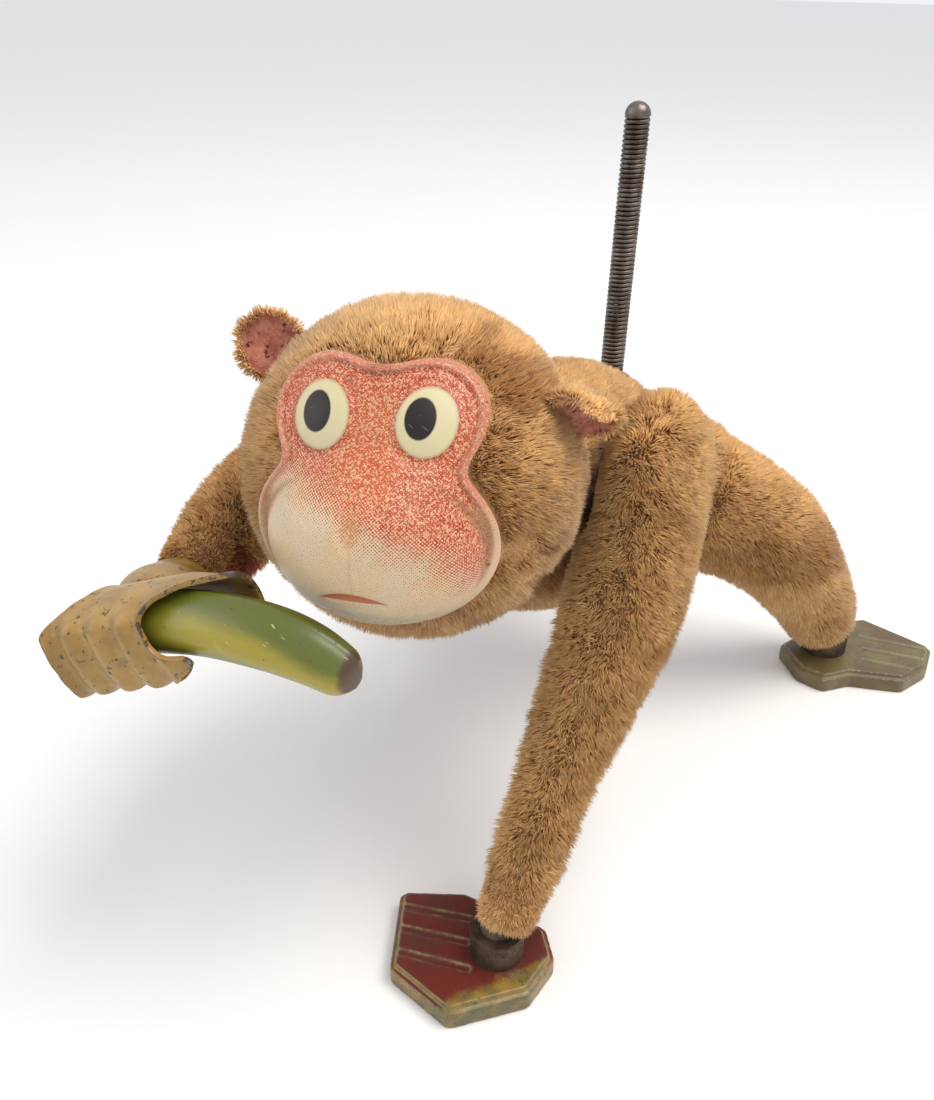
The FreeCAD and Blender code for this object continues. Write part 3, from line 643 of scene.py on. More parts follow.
def make_torso():
    egg = ball_mesh(TORSO_AT, TORSO_SEMI - SKIN_INSET, TORSO_LEAN)
    radius = YOKE_R - SKIN_INSET
    half = YOKE_X - SKIN_INSET
    rows = [(-half, 0.5), (-half + 2 * MM, 0.78), (-half + 5 * MM, 0.96), (0, 1.0),
            (half - 5 * MM, 0.96), (half - 2 * MM, 0.78), (half, 0.5)]
    path = np.array([YOKE_AT + (x, 0, 0) for x, share in rows])
    yoke = tube_mesh(path, [radius * share for x, share in rows])
    nape = ball_mesh(NAPE_AT, NAPE_SEMI - SKIN_INSET)
    skin = soft_form("torso_cloth", [egg, yoke, nape], voxel=1.0 * MM, rounds=16)
    set_vertices(skin.data, keep_out(vertex_array(skin.data), HEAD, HEAD_R + 2.0 * MM))

    def comb(points, normals):
        back = np.array([0, 1.0, -0.35])
        return back - normals * (normals @ back)[:, None]

    def shade(points, normals):
        belly = smooth_step(55 * MM, 45 * MM, points[:, 2])
        saddle = smooth_step(0.55, 0.72, noise(points, 12 * MM, 21))
        return 0.53 + 0.5 * (blotches(points, 23) - 0.5) - 0.20 * saddle - 0.06 * belly

    def trim(points, normals):
        share = np.ones(len(points))
        head = np.linalg.norm(points - HEAD, axis=1)
        share *= smooth_step(HEAD_R + 1.6 * MM, HEAD_R + 4.0 * MM, head) * 0.85 + 0.15
        tail = np.hypot(points[:, 0] - TAIL[0], points[:, 1] - TAIL[1])
        share *= np.where(points[:, 2] > TAIL[2] - 8 * MM, smooth_step(6.0 * MM, 8.0 * MM, tail), 1.0)
        beside_arm = smooth_step(21 * MM, 17 * MM, np.abs(points[:, 0]))
        under_arm = smooth_step(17 * MM, 20 * MM, ring_distance(points, SHOULDER))
        share *= np.maximum(np.maximum(beside_arm, under_arm), 0.5)
        key = smooth_step(3.0 * MM, 4.5 * MM, ring_distance(points, WINDER))
        return share * np.where(points[:, 0] < 0, key, 1.0)

    add_skin(skin, "body", "torso_plush")
    grow_pile("torso_pile", skin, "body", comb, shade, trim=trim, per_square_mm=10.5, seed=2)


RIB_COUNT = 34            # rows of tufts round a sleeve
CAP = np.array((10.5, 17.5, 17.5)) * MM
CAP_SHIFT = 2.0 * MM
ARM_INNER = 21.6 * MM     # the sleeves' flat inner faces stand this far from the middle


def spread_along(values, count):
    """Values given at even steps, filled in to the given count."""
    return np.interp(np.linspace(0, len(values) - 1, count), range(len(values)), values)


def nearest_on(path, points):
    """Index of the path's nearest point to each of the points."""
    return np.argmin(((points[:, None, :] - path[None]) ** 2).sum(axis=2), axis=1)


def limb_comb(path):
    """Pile that lies along a limb, towards its end."""
    way = unit(np.gradient(path, axis=0))

    def comb(points, normals):
        along = way[nearest_on(path, points)]
        return along - normals * np.einsum("ij,ij->i", normals, along)[:, None]

    return comb


def make_arm(side, name, body, path, radii, flats, shade, seed):
    inset = SKIN_INSET
    centre = joint_at(body + "_swing")
    capping = ball_mesh(centre - (side * CAP_SHIFT, 0, 0), CAP - inset)
    smooth_path = curve_through(path, 8)
    flat = spread_along(flats, len(smooth_path))
    sleeve = tube_mesh(smooth_path, spread_along(radii, len(smooth_path)) - inset, flat=flat)
    skin = soft_form(name + "_cloth", [capping, sleeve], rounds=30)
    points = vertex_array(skin.data)
    points[:, 0] = side * np.maximum(side * points[:, 0], ARM_INNER)
    set_vertices(skin.data, points)

    def trim(place, normals):
        facing_body = smooth_step(0.55, 0.85, -side * normals[:, 0])
        near_shoulder = smooth_step(15 * MM, 13 * MM, ring_distance(place, centre))
        share = 1 - 0.75 * facing_body * near_shoulder
        share = share * (0.62 + 0.38 * ribs(place, smooth_path, centre))
        end = np.linalg.norm(place - smooth_path[-1], axis=1)
        return share * (0.55 + 0.45 * smooth_step(7 * MM, 13 * MM, end))

    add_skin(skin, body, name + "_plush")
    grow_pile(name + "_pile", skin, body, limb_comb(smooth_path), shade, trim=trim,
              per_square_mm=13.0, seed=seed)


def ribs(points, path, shoulder):
    """Rows of tufts that run down a limb: 1 on a row, 0 between, no rows near the shoulder."""
    away = points - path[nearest_on(path, points)]
    around = np.arctan2(away[:, 0], away[:, 1] * 0.8 - away[:, 2] * 0.6)
    waver = 1.1 * (noise(points, 7 * MM, 83) - 0.5)
    rows = 0.5 + 0.5 * np.cos(around * RIB_COUNT + 2 * math.pi * waver)
    lower = smooth_step(16 * MM, 30 * MM, np.linalg.norm(points - shoulder, axis=1))
    return 1 - lower * (1 - rows)


def make_left_arm():
    path = [SHOULDER + (-1.5 * MM, 0, 0),
            SHOULDER + (-1.0 * MM, -14 * MM, -20 * MM),
            SHOULDER + (-3.5 * MM, -31 * MM, -44 * MM),
            np.array((24.4, -53.5, 11.2)) * MM]

    def shade(points, normals):
        height = points[:, 2] / MM
        cuff = smooth_step(26, 14, height)
        dark = smooth_step(0.60, 0.74, noise(points, 8 * MM, 41)) * smooth_step(30, 45, height)
        return 0.60 + 0.45 * (blotches(points, 43, 7 * MM) - 0.5) - 0.25 * dark + 0.03 * cuff

    make_arm(1, "left_arm", "left_arm", path, np.array([16.0, 13.0, 8.3, 7.9]) * MM,
             (0.60, 0.88, 1.0, 1.0), shade, 3)


def make_right_arm():
    shoulder = joint_at("right_arm_swing")
    path = [shoulder + (-2 * MM, -3 * MM, -1.5 * MM), np.array((-36.5, -24, 74)) * MM,
            np.array((-38.5, -38, 70.5)) * MM, np.array((-36, -52, 69)) * MM,
            np.array((-34, -60, 68.6)) * MM]

    def shade(points, normals):
        bare = smooth_step(9 * MM, 5 * MM, np.linalg.norm(points - np.array((-30, -52, 64)) * MM, axis=1)
                           + 4 * MM * (noise(points, 3 * MM, 57) - 0.5))
        tone = 0.45 + 0.5 * (blotches(points, 51, 7 * MM) - 0.5)
        return np.where(bare > 0.5, 2.0, tone)

    make_arm(-1, "right_arm", "right_arm", path, np.array([15.5, 12.6, 10.6, 8.8, 8.2]) * MM,
             (0.62, 0.85, 1.0, 1.0, 1.0), shade, 4)


LEG_PATH = ((21.0, 45, 52), (36, 54.5, 41.5), (45.5, 65, 24.5), (50.4, 70.8, 11.0))
LEG_RADII = np.array((16.5, 14.4, 11.2, 9.2)) * MM
LEG_INNER = 19.5 * MM
LEG_CAP = np.array((10.5, 17.0, 17.0)) * MM


def make_leg(side, name, seed):
    flip = np.array((side, 1, 1))
    path = [np.array(point) * MM * flip for point in LEG_PATH]
    smooth_path = curve_through(path, 8)
    spread = spread_along(LEG_RADII, len(smooth_path))
    hip = ball_mesh(np.array((side * LEG_INNER, HIP[1], HIP[2])), LEG_CAP - SKIN_INSET)
    skin = soft_form(name + "_cloth", [hip, tube_mesh(smooth_path, spread - SKIN_INSET)], rounds=24)

    def shade(points, normals):
        height = points[:, 2] / MM
        thigh = smooth_step(4.5, 0.5, np.abs(height - 40 + 6 * (noise(points, 9 * MM, 61) - 0.5)) - 3.5)
        return 0.60 + 0.45 * (blotches(points, 63, 8 * MM) - 0.5) - 0.30 * thigh

    def trim(points, normals):
        end = np.linalg.norm(points - smooth_path[-1], axis=1)
        egg = np.array(Matrix.Rotation(math.radians(-TORSO_LEAN), 3, "X"))
        inside = np.linalg.norm((points - TORSO_AT) @ egg.T / TORSO_SEMI, axis=1)
        return smooth_step(0.93, 1.06, inside) * (0.75 + 0.25 * smooth_step(6 * MM, 12 * MM, end))

    add_skin(skin, name, name + "_plush")
    grow_pile(name + "_pile", skin, name, limb_comb(smooth_path), shade, trim=trim,
              per_square_mm=10.5, seed=seed)


make_head()
make_torso()
make_left_arm()
make_right_arm()
make_leg(1, "left_leg", 5)
make_leg(-1, "right_leg", 6)
# ---------------------------------------------------------------- painted and bare metal

def worn_paint(name, paint, edge, hollow_shade, bare, wear=0.5, roughness=0.42):
    """Thin lacquer over tin: mottled, rubbed to the metal along edges, with painted shade darkening the
    hollows.
    """
    material = node_material(name, roughness)
    tree = Tree(material)
    place = tree.place()
    cloud = tree.noise(place, 160.0, 5.0, 0.6)
    fine = tree.noise(place, 900.0, 4.0, 0.6)
    geometry = tree.nodes.new("ShaderNodeNewGeometry")
    ridge = tree.ramp(geometry.outputs["Pointiness"], 0.515, 0.56)
    # painted shade: concave hollows (low pointiness) are darkened, broken up by fine noise
    hollow = tree.ramp(geometry.outputs["Pointiness"], 0.49, 0.44)
    colour = tree.mix(tree.ramp(cloud, 0.35, 0.68), paint, edge)
    colour = tree.mix(tree.times(hollow, tree.ramp(fine, 0.25, 0.6)), colour, hollow_shade)
    chips = tree.ramp(tree.plus(tree.times(ridge, 0.30), fine), 1.02 - wear * 0.6, 1.06 - wear * 0.6)
    colour = tree.mix(chips, colour, bare)
    tree.colour(colour)
    rough = tree.plus(tree.times(cloud, 0.30), roughness - 0.12)
    tree.rough(rough)
    tree.coat(0.25, 0.3)
    tree.bump(tree.plus(tree.times(chips, -0.6), fine), 0.00012, 0.6)
    return material


def aged_metal(name, bright, dull, roughness=0.38, spots=0.6):
    """Bare metal with a clouded, spotted skin of tarnish."""
    material = node_material(name, roughness, 0.9)
    tree = Tree(material)
    place = tree.place()
    cloud = tree.noise(place, 220.0, 5.0, 0.65)
    speck = tree.noise(place, 1500.0, 3.0, 0.7)
    colour = tree.mix(tree.ramp(cloud, 0.36, 0.64), bright, dull)
    colour = tree.mix(tree.ramp(speck, spots, spots + 0.08), colour,
                      tuple(channel * 0.35 for channel in dull))
    tree.colour(colour)
    tree.rough(tree.plus(tree.times(cloud, 0.35), roughness - 0.15))
    tree.bump(speck, 0.00005, 0.5)
    return material


def dress(nodes, material):
    """Give carried-over CAD nodes a better material."""
    for node in nodes:
        piece = frame["nodes"][node]
        piece.data.materials.clear()
        piece.data.materials.append(material)


def dress_metals():
    steel = aged_metal("clockwork_steel", (0.42, 0.42, 0.41), (0.22, 0.20, 0.18))
    brass = aged_metal("clockwork_brass", (0.62, 0.46, 0.20), (0.36, 0.24, 0.10))
    spring = aged_metal("blued_spring", (0.20, 0.21, 0.24), (0.10, 0.09, 0.09), 0.3)
    tin = aged_metal("tinplate", (0.58, 0.57, 0.54), (0.34, 0.31, 0.27), 0.45)
    rusty = aged_metal("browned_steel", (0.16, 0.12, 0.09), (0.07, 0.045, 0.03), 0.5)
    dress(("motor_plate_left", "motor_plate_right", "motor_pillars", "pillar_screws",
           "shoulder_shaft", "hip_shaft", "winding_arbor", "ratchet_wheel", "click",
           "left_crank_rod", "right_crank_rod", "crank_shaft", "fan_shaft", "winding_key",
           "neck_stud", "neck_clip", "tail_stem"), steel)
    dress(("great_wheel", "second_wheel", "crank_discs", "fan_blades"), brass)
    dress(("mainspring",), spring)
    dress(("head_shell_front", "head_shell_back", "left_foot_base", "right_foot_base", "left_paw_base"), tin)
    dress(("torso_shell_left", "torso_shell_right", "left_arm_hub", "right_arm_hub",
           "left_arm_core", "right_arm_core", "left_leg_core", "right_leg_core",
           "left_wrist_collar", "left_ankle_collar", "right_ankle_collar", "neck_collar",
           "tail_socket"), rusty)


# ---------------------------------------------------------------- face plate

BALL = 28.2               # radius of the plate's roundness, millimetres
DOME_RISE = 6.8
DOME_MIDDLE, DOME_X, DOME_Z = -7.5, 15.5, 12.0
EYE_X, EYE_Z = 7.2, 10.7
RIM_RISE = 0.45
MOUTH_X, MOUTH_Z, MOUTH_BEND = -0.8, -12.9, 0.042
PUPILS_AT = ((-7.8, 11.1), (6.4, 11.2))
PLATE_DEPTH = 1.1         # from the front skin to the back edge of the rolled rim
ROLL_AT = 0.985           # where the rim's roll starts, as a share of the outline
FACE_MIDDLE = 2.0
FACE_COLUMNS = 260
FACE_ROWS = 70
DOT_PITCH = 0.34
CREAM = (0.56, 0.45, 0.29)
CREAM_WARM = (0.60, 0.44, 0.25)
EYE_CREAM = (0.55, 0.48, 0.28)
LITHO_RED = (0.34, 0.028, 0.008)
LITHO_PINK = (0.40, 0.060, 0.022)
LITHO_ORANGE = (0.45, 0.085, 0.016)
SPECKLE = (0.66, 0.40, 0.22)
CHANNEL_LIGHT = (0.66, 0.42, 0.21)
CHANNEL_BROWN = (0.36, 0.15, 0.05)
LINE_BROWN = (0.20, 0.07, 0.03)
PUPIL = (0.010, 0.005, 0.003)
NOSE_BROWN = (0.42, 0.16, 0.05)
MOUTH_RED = (0.36, 0.085, 0.030)
RIM_PINK = (0.46, 0.13, 0.075)
RIM_CREAM = (0.58, 0.42, 0.26)
CHIP_BROWN = (0.11, 0.055, 0.03)
GRIME_GREEN = (0.22, 0.21, 0.13)


def face_depth(x, z):
    """How far the plate stands in front of the head's centre, millimetres."""
    base = np.sqrt(np.maximum(BALL ** 2 - 0.90 * (x * x + z * z), 1.0))
    rho = np.hypot(x / DOME_X, (z - DOME_MIDDLE) / DOME_Z)
    crisp = np.maximum(1 - rho ** 2.4, 0) ** 0.8
    melted = np.maximum(1 - (rho / 1.25) ** 2, 0) ** 1.7
    upper = smooth_step(-7.0, 2.5, z)
    dome = DOME_RISE * (crisp * (1 - upper) + melted * upper)
    trough = 0.7 * np.exp(-((rho - 1.07) / 0.10) ** 2) * smooth_step(1.5, -3.0, z)
    eyes = 0
    for side in (-1, 1):
        from_eye = np.hypot((x - side * EYE_X) / 4.7, (z - EYE_Z) / 5.1)
        eyes = eyes + 0.55 * np.maximum(1 - from_eye ** 2, 0)
        eyes = eyes - 0.28 * np.exp(-((from_eye - 1.05) / 0.12) ** 2)
    brow = 0.5 * np.exp(-(x / 2.2) ** 2) * smooth_step(3, 9, z) * smooth_step(17, 13, z)
    from_nose = np.hypot((x + 0.2) / 1.5, (z + 3.2) / 2.2)
    nose = 0.40 * np.exp(-from_nose ** 2)
    nose_ring = 0.12 * np.exp(-((from_nose - 1.6) / 0.4) ** 2)
    mouth_line = mouth_height(x)
    mouth = 0.40 * np.exp(-((z - mouth_line) / 0.45) ** 2) * smooth_step(5.6, 3.8, np.abs(x - MOUTH_X))
    lip = 0.35 * np.exp(-((z - mouth_line + 1.6) / 1.0) ** 2) * smooth_step(5.5, 2.5, np.abs(x - MOUTH_X))
    return base + dome - trough + eyes - brow - nose + nose_ring - mouth + lip


def mouth_height(x):
    """The mouth is a shallow arch, high in the middle."""
    return MOUTH_Z - MOUTH_BEND * (x - MOUTH_X) ** 2


def outline_radius(angle):
    """Distance from the plate's middle to its outline, found along one direction."""
    reach = np.linspace(4, 24, 400)
    field = outline_field(reach * math.cos(angle), reach * math.sin(angle) + FACE_MIDDLE)
    return np.interp(0.0, field, reach)


def make_face():
    """A pressed plate with a rolled rim: front skin, rim and back skin, closed."""
    angles = np.linspace(0, 2 * math.pi, FACE_COLUMNS, endpoint=False)
    edge = np.array([outline_radius(angle) for angle in angles])
    profile = []
    for row in range(1, FACE_ROWS + 1):
        profile.append((row / FACE_ROWS * ROLL_AT, 0.0))
    roll = 10
    for step in range(1, roll):
        turn = math.pi * step / roll
        profile.append((ROLL_AT + 0.028 * math.sin(turn), -PLATE_DEPTH / 2 * (1 - math.cos(turn))))
    for row in range(12, 0, -1):
        profile.append((row / 12 * 0.97, -PLATE_DEPTH))
    vertices = []
    for share, drop in profile:
        x = edge * share * np.cos(angles)
        z = edge * share * np.sin(angles) + FACE_MIDDLE
        inward = (1 - share) * edge
        roll_rise = RIM_RISE * np.exp(-((inward - 0.45) / 0.50) ** 2)
        roll_rise -= 0.30 * np.exp(-((inward - 1.45) / 0.45) ** 2)
        depth = face_depth(x, z) + (roll_rise if drop == 0 else 0.10) + drop
        wobble = 0.10 * (noise(np.stack([x, z, 0 * x], axis=1), 3.0, 91) - 0.5)
        vertices += list(np.stack([x, -(depth + wobble), z], axis=1))
    front = np.array([0, -float(face_depth(np.array([0.0]), np.array([FACE_MIDDLE]))[0]), FACE_MIDDLE])
    vertices.append(front)
    vertices.append(front + np.array([0, PLATE_DEPTH, 0]))
    points = np.array(vertices) * MM * FACE_SCALE
    turn = np.array(TO_HEAD.to_3x3())
    piece = new_object("litho_face", points @ turn.T + HEAD, tube_faces(len(profile), FACE_COLUMNS))
    finish_piece(piece, face_litho(), "head", "face_litho", "face_plate")


class FaceTree(Tree):
    """A material's tree with the face plate's own millimetres and the noises its print shares."""

    def __init__(self, material):
        super().__init__(material)
        turn = tuple(TO_HEAD.to_euler())
        self.local = self.mapped(self.place(), tuple(HEAD), turn, tuple(MM * FACE_SCALE))
        self.x, _, self.z = self.separate(self.local)
        self.wobble = self.times(self.minus(self.noise(self.local, 0.35, 4.0), 0.5), 4.0)
        self.grain = self.noise(self.local, 3.2, 3.0, 0.7)
        self.patch = self.noise(self.local, 0.22, 4.0, 0.6)

    def length_of(self, a, b):
        return self.maths("SQRT", self.plus(self.times(a, a), self.times(b, b)))

    def ellipse(self, x0, z0, rx, rz):
        """Distance from a centre, 1 on the ellipse."""
        return self.length_of(self.over(self.minus(self.x, x0), rx), self.over(self.minus(self.z, z0), rz))

    def rim(self, inside, fade):
        """1 on the rolled rim, from the same outline as the plate's."""
        across = self.minus(self.maths("ABSOLUTE", self.x), LOBE_X)
        lobes = self.minus(self.length_of(across, self.minus(self.z, LOBE_Z)), LOBE_R)
        muzzle = self.minus(self.ellipse(0.0, MUZZLE_MIDDLE, MUZZLE_X, MUZZLE_Z), 1.0)
        bridge = self.minus(self.length_of(self.x, self.minus(self.z, BRIDGE_Z)), BRIDGE_R)
        total = 0.0
        for part in (lobes, self.times(muzzle, MUZZLE_WEIGHT), bridge):
            total = self.plus(self.maths("EXPONENT", self.times(part, -OUTLINE_SHARP)), total)
        field = self.over(self.maths("LOGARITHM", total, math.e), -OUTLINE_SHARP)
        return self.ramp(field, -inside - fade, -inside + fade)


def halftone(face):
    """A screen of dots at 45 degrees, from 0 to 1."""
    diagonal = math.sqrt(0.5) * 2 * math.pi / DOT_PITCH
    first = face.maths("SINE", face.times(face.plus(face.x, face.z), diagonal))
    second = face.maths("SINE", face.times(face.minus(face.x, face.z), diagonal))
    return face.plus(face.times(face.plus(first, second), 0.25), 0.5)


def litho_ground(face):
    """Cream muzzle under red that rises to the brows and falls down one cheek, in dots."""
    slope = face.plus(face.plus(face.z, face.times(face.x, 0.42)), face.wobble)
    beside = face.ramp(face.plus(face.x, face.times(face.wobble, 0.6)), 5.0, 15.0)
    above = face.ramp(face.plus(face.z, face.wobble), -16.0, -5.0)
    red_share = face.larger(face.ramp(slope, -7.5, 3.0), face.times(beside, above))
    cream = face.mix(face.ramp(face.patch, 0.35, 0.7), CREAM, CREAM_WARM)
    red = face.mix(face.ramp(face.noise(face.local, 0.6, 3.0), 0.35, 0.65), LITHO_RED, LITHO_PINK)
    orange = face.times(face.ramp(face.ellipse(0.0, 6.0, 5.5, 9.0), 1.15, 0.6), 0.65)
    red = face.mix(orange, red, LITHO_ORANGE)
    tint = face.plus(face.times(red_share, 0.86), 0.07)
    level = face.plus(face.minus(tint, halftone(face)), face.times(face.minus(face.grain, 0.5), 1.3))
    colour = face.mix(face.ramp(level, -0.16, 0.16), cream, red)
    speckle = face.times(face.ramp(face.noise(face.local, 2.6, 2.0, 0.8), 0.50, 0.58), red_share)
    return face.mix(face.times(speckle, 0.75), colour, SPECKLE)


def litho_channel(face, colour):
    """The channel round the muzzle is a stippled orange-brown with a dark crease."""
    muzzle = face.ellipse(0.0, DOME_MIDDLE, DOME_X, DOME_Z)
    channel = face.times(face.ramp(muzzle, 0.96, 1.06), face.ramp(face.z, 1.0, -2.0))
    stipple = face.ramp(face.plus(face.grain, face.times(face.wobble, 0.03)), 0.36, 0.60)
    brown = face.mix(stipple, CHANNEL_LIGHT, CHANNEL_BROWN)
    colour = face.mix(face.times(channel, 0.85), colour, brown)
    crease = face.ramp(face.maths("ABSOLUTE", face.minus(muzzle, 1.03)), 0.06, 0.0)
    crease = face.times(crease, face.ramp(face.z, 3.5, -1.0))
    return face.mix(face.times(crease, 0.55), colour, LINE_BROWN)


def litho_eyes(face, colour):
    """Cream whites in a fine brown ring, with dark pupils."""
    cream = face.mix(face.ramp(face.grain, 0.55, 0.75), EYE_CREAM, CREAM_WARM)
    for side, (pupil_x, pupil_z) in zip((-1, 1), PUPILS_AT):
        white = face.ellipse(side * EYE_X, EYE_Z, 4.0, 4.6)
        ring = face.ramp(face.maths("ABSOLUTE", face.minus(white, 1.0)), 0.10, 0.02)
        colour = face.mix(face.ramp(white, 1.03, 0.97), colour, cream)
        colour = face.mix(face.times(ring, 0.25), colour, LINE_BROWN)
        pupil = face.ellipse(pupil_x, pupil_z, 2.05, 2.75)
        colour = face.mix(face.ramp(pupil, 1.06, 0.94), colour, PUPIL)
    return colour


def litho_mouth(face, colour):
    """The nose dimple, the faint seam below it and the line of the mouth."""
    nose = face.ramp(face.ellipse(-0.2, -3.2, 1.6, 2.4), 1.2, 0.3)
    nose = face.times(nose, face.ramp(face.grain, 0.30, 0.60))
    colour = face.mix(face.times(nose, 0.8), colour, NOSE_BROWN)
    seam = face.times(face.ramp(face.z, -14.3, -13.3), face.ramp(face.z, -4.5, -6.5))
    seam = face.times(seam, face.ramp(face.maths("ABSOLUTE", face.plus(face.x, 0.2)), 0.32, 0.05))
    colour = face.mix(face.times(seam, 0.14), colour, LINE_BROWN)
    from_middle = face.minus(face.x, MOUTH_X)
    squared = face.times(from_middle, from_middle)
    off_line = face.plus(face.minus(face.z, MOUTH_Z), face.times(squared, MOUTH_BEND))
    half_width = face.minus(0.62, face.times(squared, 0.025))
    mouth = face.ramp(face.minus(face.maths("ABSOLUTE", off_line), half_width), 0.10, -0.10)
    return face.mix(face.times(mouth, 0.9), colour, MOUTH_RED)


def litho_wear(face, colour):
    """Rubbed rim, chips, grime under the chin, specks and scratches."""
    rim_colour = face.mix(face.ramp(face.z, -10.0, 4.0), RIM_CREAM, RIM_PINK)
    rim_colour = face.mix(face.ramp(face.grain, 0.50, 0.62), rim_colour, RIM_CREAM)
    colour = face.mix(face.times(face.rim(0.75, 0.45), 0.8), colour, rim_colour)
    flakes = face.ramp(face.noise(face.local, 0.75, 5.0, 0.7), 0.64, 0.67)
    chips = face.times(face.rim(1.0, 0.8), flakes)
    colour = face.mix(chips, colour, CHIP_BROWN)
    notch = face.ramp(face.ellipse(0.0, 17.0, 2.6, 0.9), 1.2, 0.7)
    notch = face.times(notch, face.ramp(face.grain, 0.50, 0.60))
    colour = face.mix(notch, colour, CHIP_BROWN)
    grime = face.ramp(face.plus(face.z, face.times(face.wobble, 0.8)), -13.5, -18.5)
    grime = face.times(grime, face.ramp(face.grain, 0.25, 0.55))
    colour = face.mix(face.times(grime, 0.75), colour, GRIME_GREEN)
    speck = face.ramp(face.noise(face.local, 1.6, 2.0, 0.8), 0.75, 0.78)
    colour = face.mix(face.times(speck, 0.8), colour, CHIP_BROWN)
    stretched = face.mapped(face.local, rotation=(0, 0.6, 0), scale=(9.0, 1.0, 0.35))
    scratch = face.ramp(face.noise(stretched, 1.0, 2.0, 0.8), 0.70, 0.72)
    return face.mix(face.times(scratch, 0.5), colour, RIM_CREAM), chips, grime


def face_litho():
    """Printed tin: red stippled brows over a cream muzzle, a halftone screen, rim and wear."""
    material = node_material("litho_face", roughness=0.45)
    face = FaceTree(material)
    colour = litho_channel(face, litho_ground(face))
    colour = litho_mouth(face, litho_eyes(face, colour))
    colour, chips, grime = litho_wear(face, colour)
    face.colour(colour)
    rough = face.plus(face.times(face.patch, 0.30), 0.26)
    worn = face.times(face.larger(chips, grime), 0.7)
    face.rough(face.larger(rough, worn))
    face.shader.inputs["Specular IOR Level"].default_value = 0.35
    face.coat(0.08, 0.3)
    face.bump(face.plus(face.times(chips, -1.0), face.times(face.grain, 0.25)), 0.00012, 0.5)
    return material


make_face()
dress_metals()


# ---------------------------------------------------------------- banana

BANANA_PATH = ((-39.5, -83.2, 67.8), (-33, -82.0, 71.0), (-24, -80.4, 74.8), (-13, -78.8, 77.4),
               (-3, -77.4, 78.0), (5, -76.2, 76.8), (12.5, -75.2, 73.8))
BANANA_RADII = (1.0, 3.6, 4.7, 4.9, 5.0, 4.6, 3.4)
BLUNT = 3.2 * MM               # how far from its tip the banana starts to round off
BANANA_GREEN = (0.090, 0.105, 0.008)
BANANA_OLIVE = (0.135, 0.145, 0.016)
BANANA_YELLOW = (0.31, 0.25, 0.020)
BANANA_STALK = (0.06, 0.09, 0.02)
BANANA_BROWN = (0.06, 0.025, 0.012)


def smooth_radii(radii, count):
    """Radii spread along a path, rounded off between the given ones."""
    columns = curve_through([(index, radius, 0) for index, radius in enumerate(radii)], 8)
    wanted = np.linspace(0, len(radii) - 1, count)
    return np.interp(wanted, columns[:, 0], columns[:, 1])


def make_banana():
    """Two pressed halves with a folded seam along the top and the bottom."""
    path = curve_through(np.array(BANANA_PATH) * MM, 28)
    radii = smooth_radii(BANANA_RADII, len(path)) * MM
    to_tip = np.linalg.norm(path - path[-1], axis=1) / BLUNT
    radii = radii * np.sqrt(1 - np.clip(1 - to_tip, 0, 0.96) ** 2)
    tangent, side, over = frames_along(path)
    columns = 48
    vertices = []
    for i, centre in enumerate(path):
        for j in range(columns):
            around = 2 * math.pi * j / columns
            seam = math.exp(-(math.cos(around) / 0.09) ** 2)
            flats = 1 + 0.035 * math.cos(4 * around)
            reach = radii[i] * flats + 0.42 * MM * seam * min(1.0, radii[i] / (2.5 * MM))
            vertices.append(centre + reach * (math.cos(around) * side[i] + math.sin(around) * over[i]))
    vertices.append(path[0] - tangent[0] * 1.0 * MM)
    vertices.append(path[-1] + tangent[-1] * 0.15 * MM)
    piece = new_object("banana", vertices, tube_faces(len(path), columns))
    finish_piece(piece, banana_paint(path), "right_arm", "banana_paint", "banana_front", "banana_back")


def banana_paint(path):
    """Green along the top, yellow in the middle, brown along the bottom seam."""
    material = node_material("banana_paint", 0.35)
    tree = Tree(material)
    place = tree.place()
    x, _, z = tree.separate(place)
    along = tree.over(tree.minus(x, path[0][0]), float(path[-1][0] - path[0][0]))
    spine = tree.minus(along, 0.57)
    spine = tree.times(tree.times(spine, spine), -31.5 * MM)
    spine = tree.plus(spine, float(path[:, 2].max()))
    height = tree.over(tree.minus(z, spine), 4.8 * MM)
    streak = tree.noise(tree.mapped(place, scale=(4.0, 1.0, 1.0)), 260.0, 5.0, 0.6)
    height = tree.plus(height, tree.times(tree.minus(streak, 0.5), 0.5))
    ripe = tree.times(tree.ramp(height, 0.95, 0.35), tree.ramp(height, -0.65, 0.0))
    ripe = tree.times(ripe, tree.ramp(along, 0.30, 0.62))
    colour = tree.mix(tree.ramp(height, -0.1, 0.8), BANANA_OLIVE, BANANA_GREEN)
    colour = tree.mix(ripe, colour, BANANA_YELLOW)
    stalk = tree.ramp(along, 0.05, 0.0)
    colour = tree.mix(stalk, colour, BANANA_STALK)
    tip = tree.ramp(tree.plus(along, tree.times(streak, 0.03)), 0.988, 1.004)
    below = tree.ramp(height, -0.80, -1.0)
    edge = tree.larger(tip, below)
    colour = tree.mix(tree.times(edge, 0.92), colour, BANANA_BROWN)
    speck = tree.ramp(tree.noise(place, 1300.0, 3.0, 0.75), 0.66, 0.70)
    colour = tree.mix(tree.times(speck, 0.8), colour, BANANA_BROWN)
    scratch = tree.ramp(tree.noise(tree.mapped(place, rotation=(0, 0.5, 0.3), scale=(12, 1, 0.5)), 900.0,
                                   2.0, 0.8), 0.70, 0.72)
    colour = tree.mix(scratch, colour, (0.42, 0.36, 0.20))
    tree.colour(colour)
    tree.rough(tree.plus(tree.times(streak, 0.25), 0.2))
    tree.coat(0.15, 0.3)
    tree.bump(tree.minus(streak, speck), 0.00010, 0.5)
    return material


# ---------------------------------------------------------------- the hand round the banana

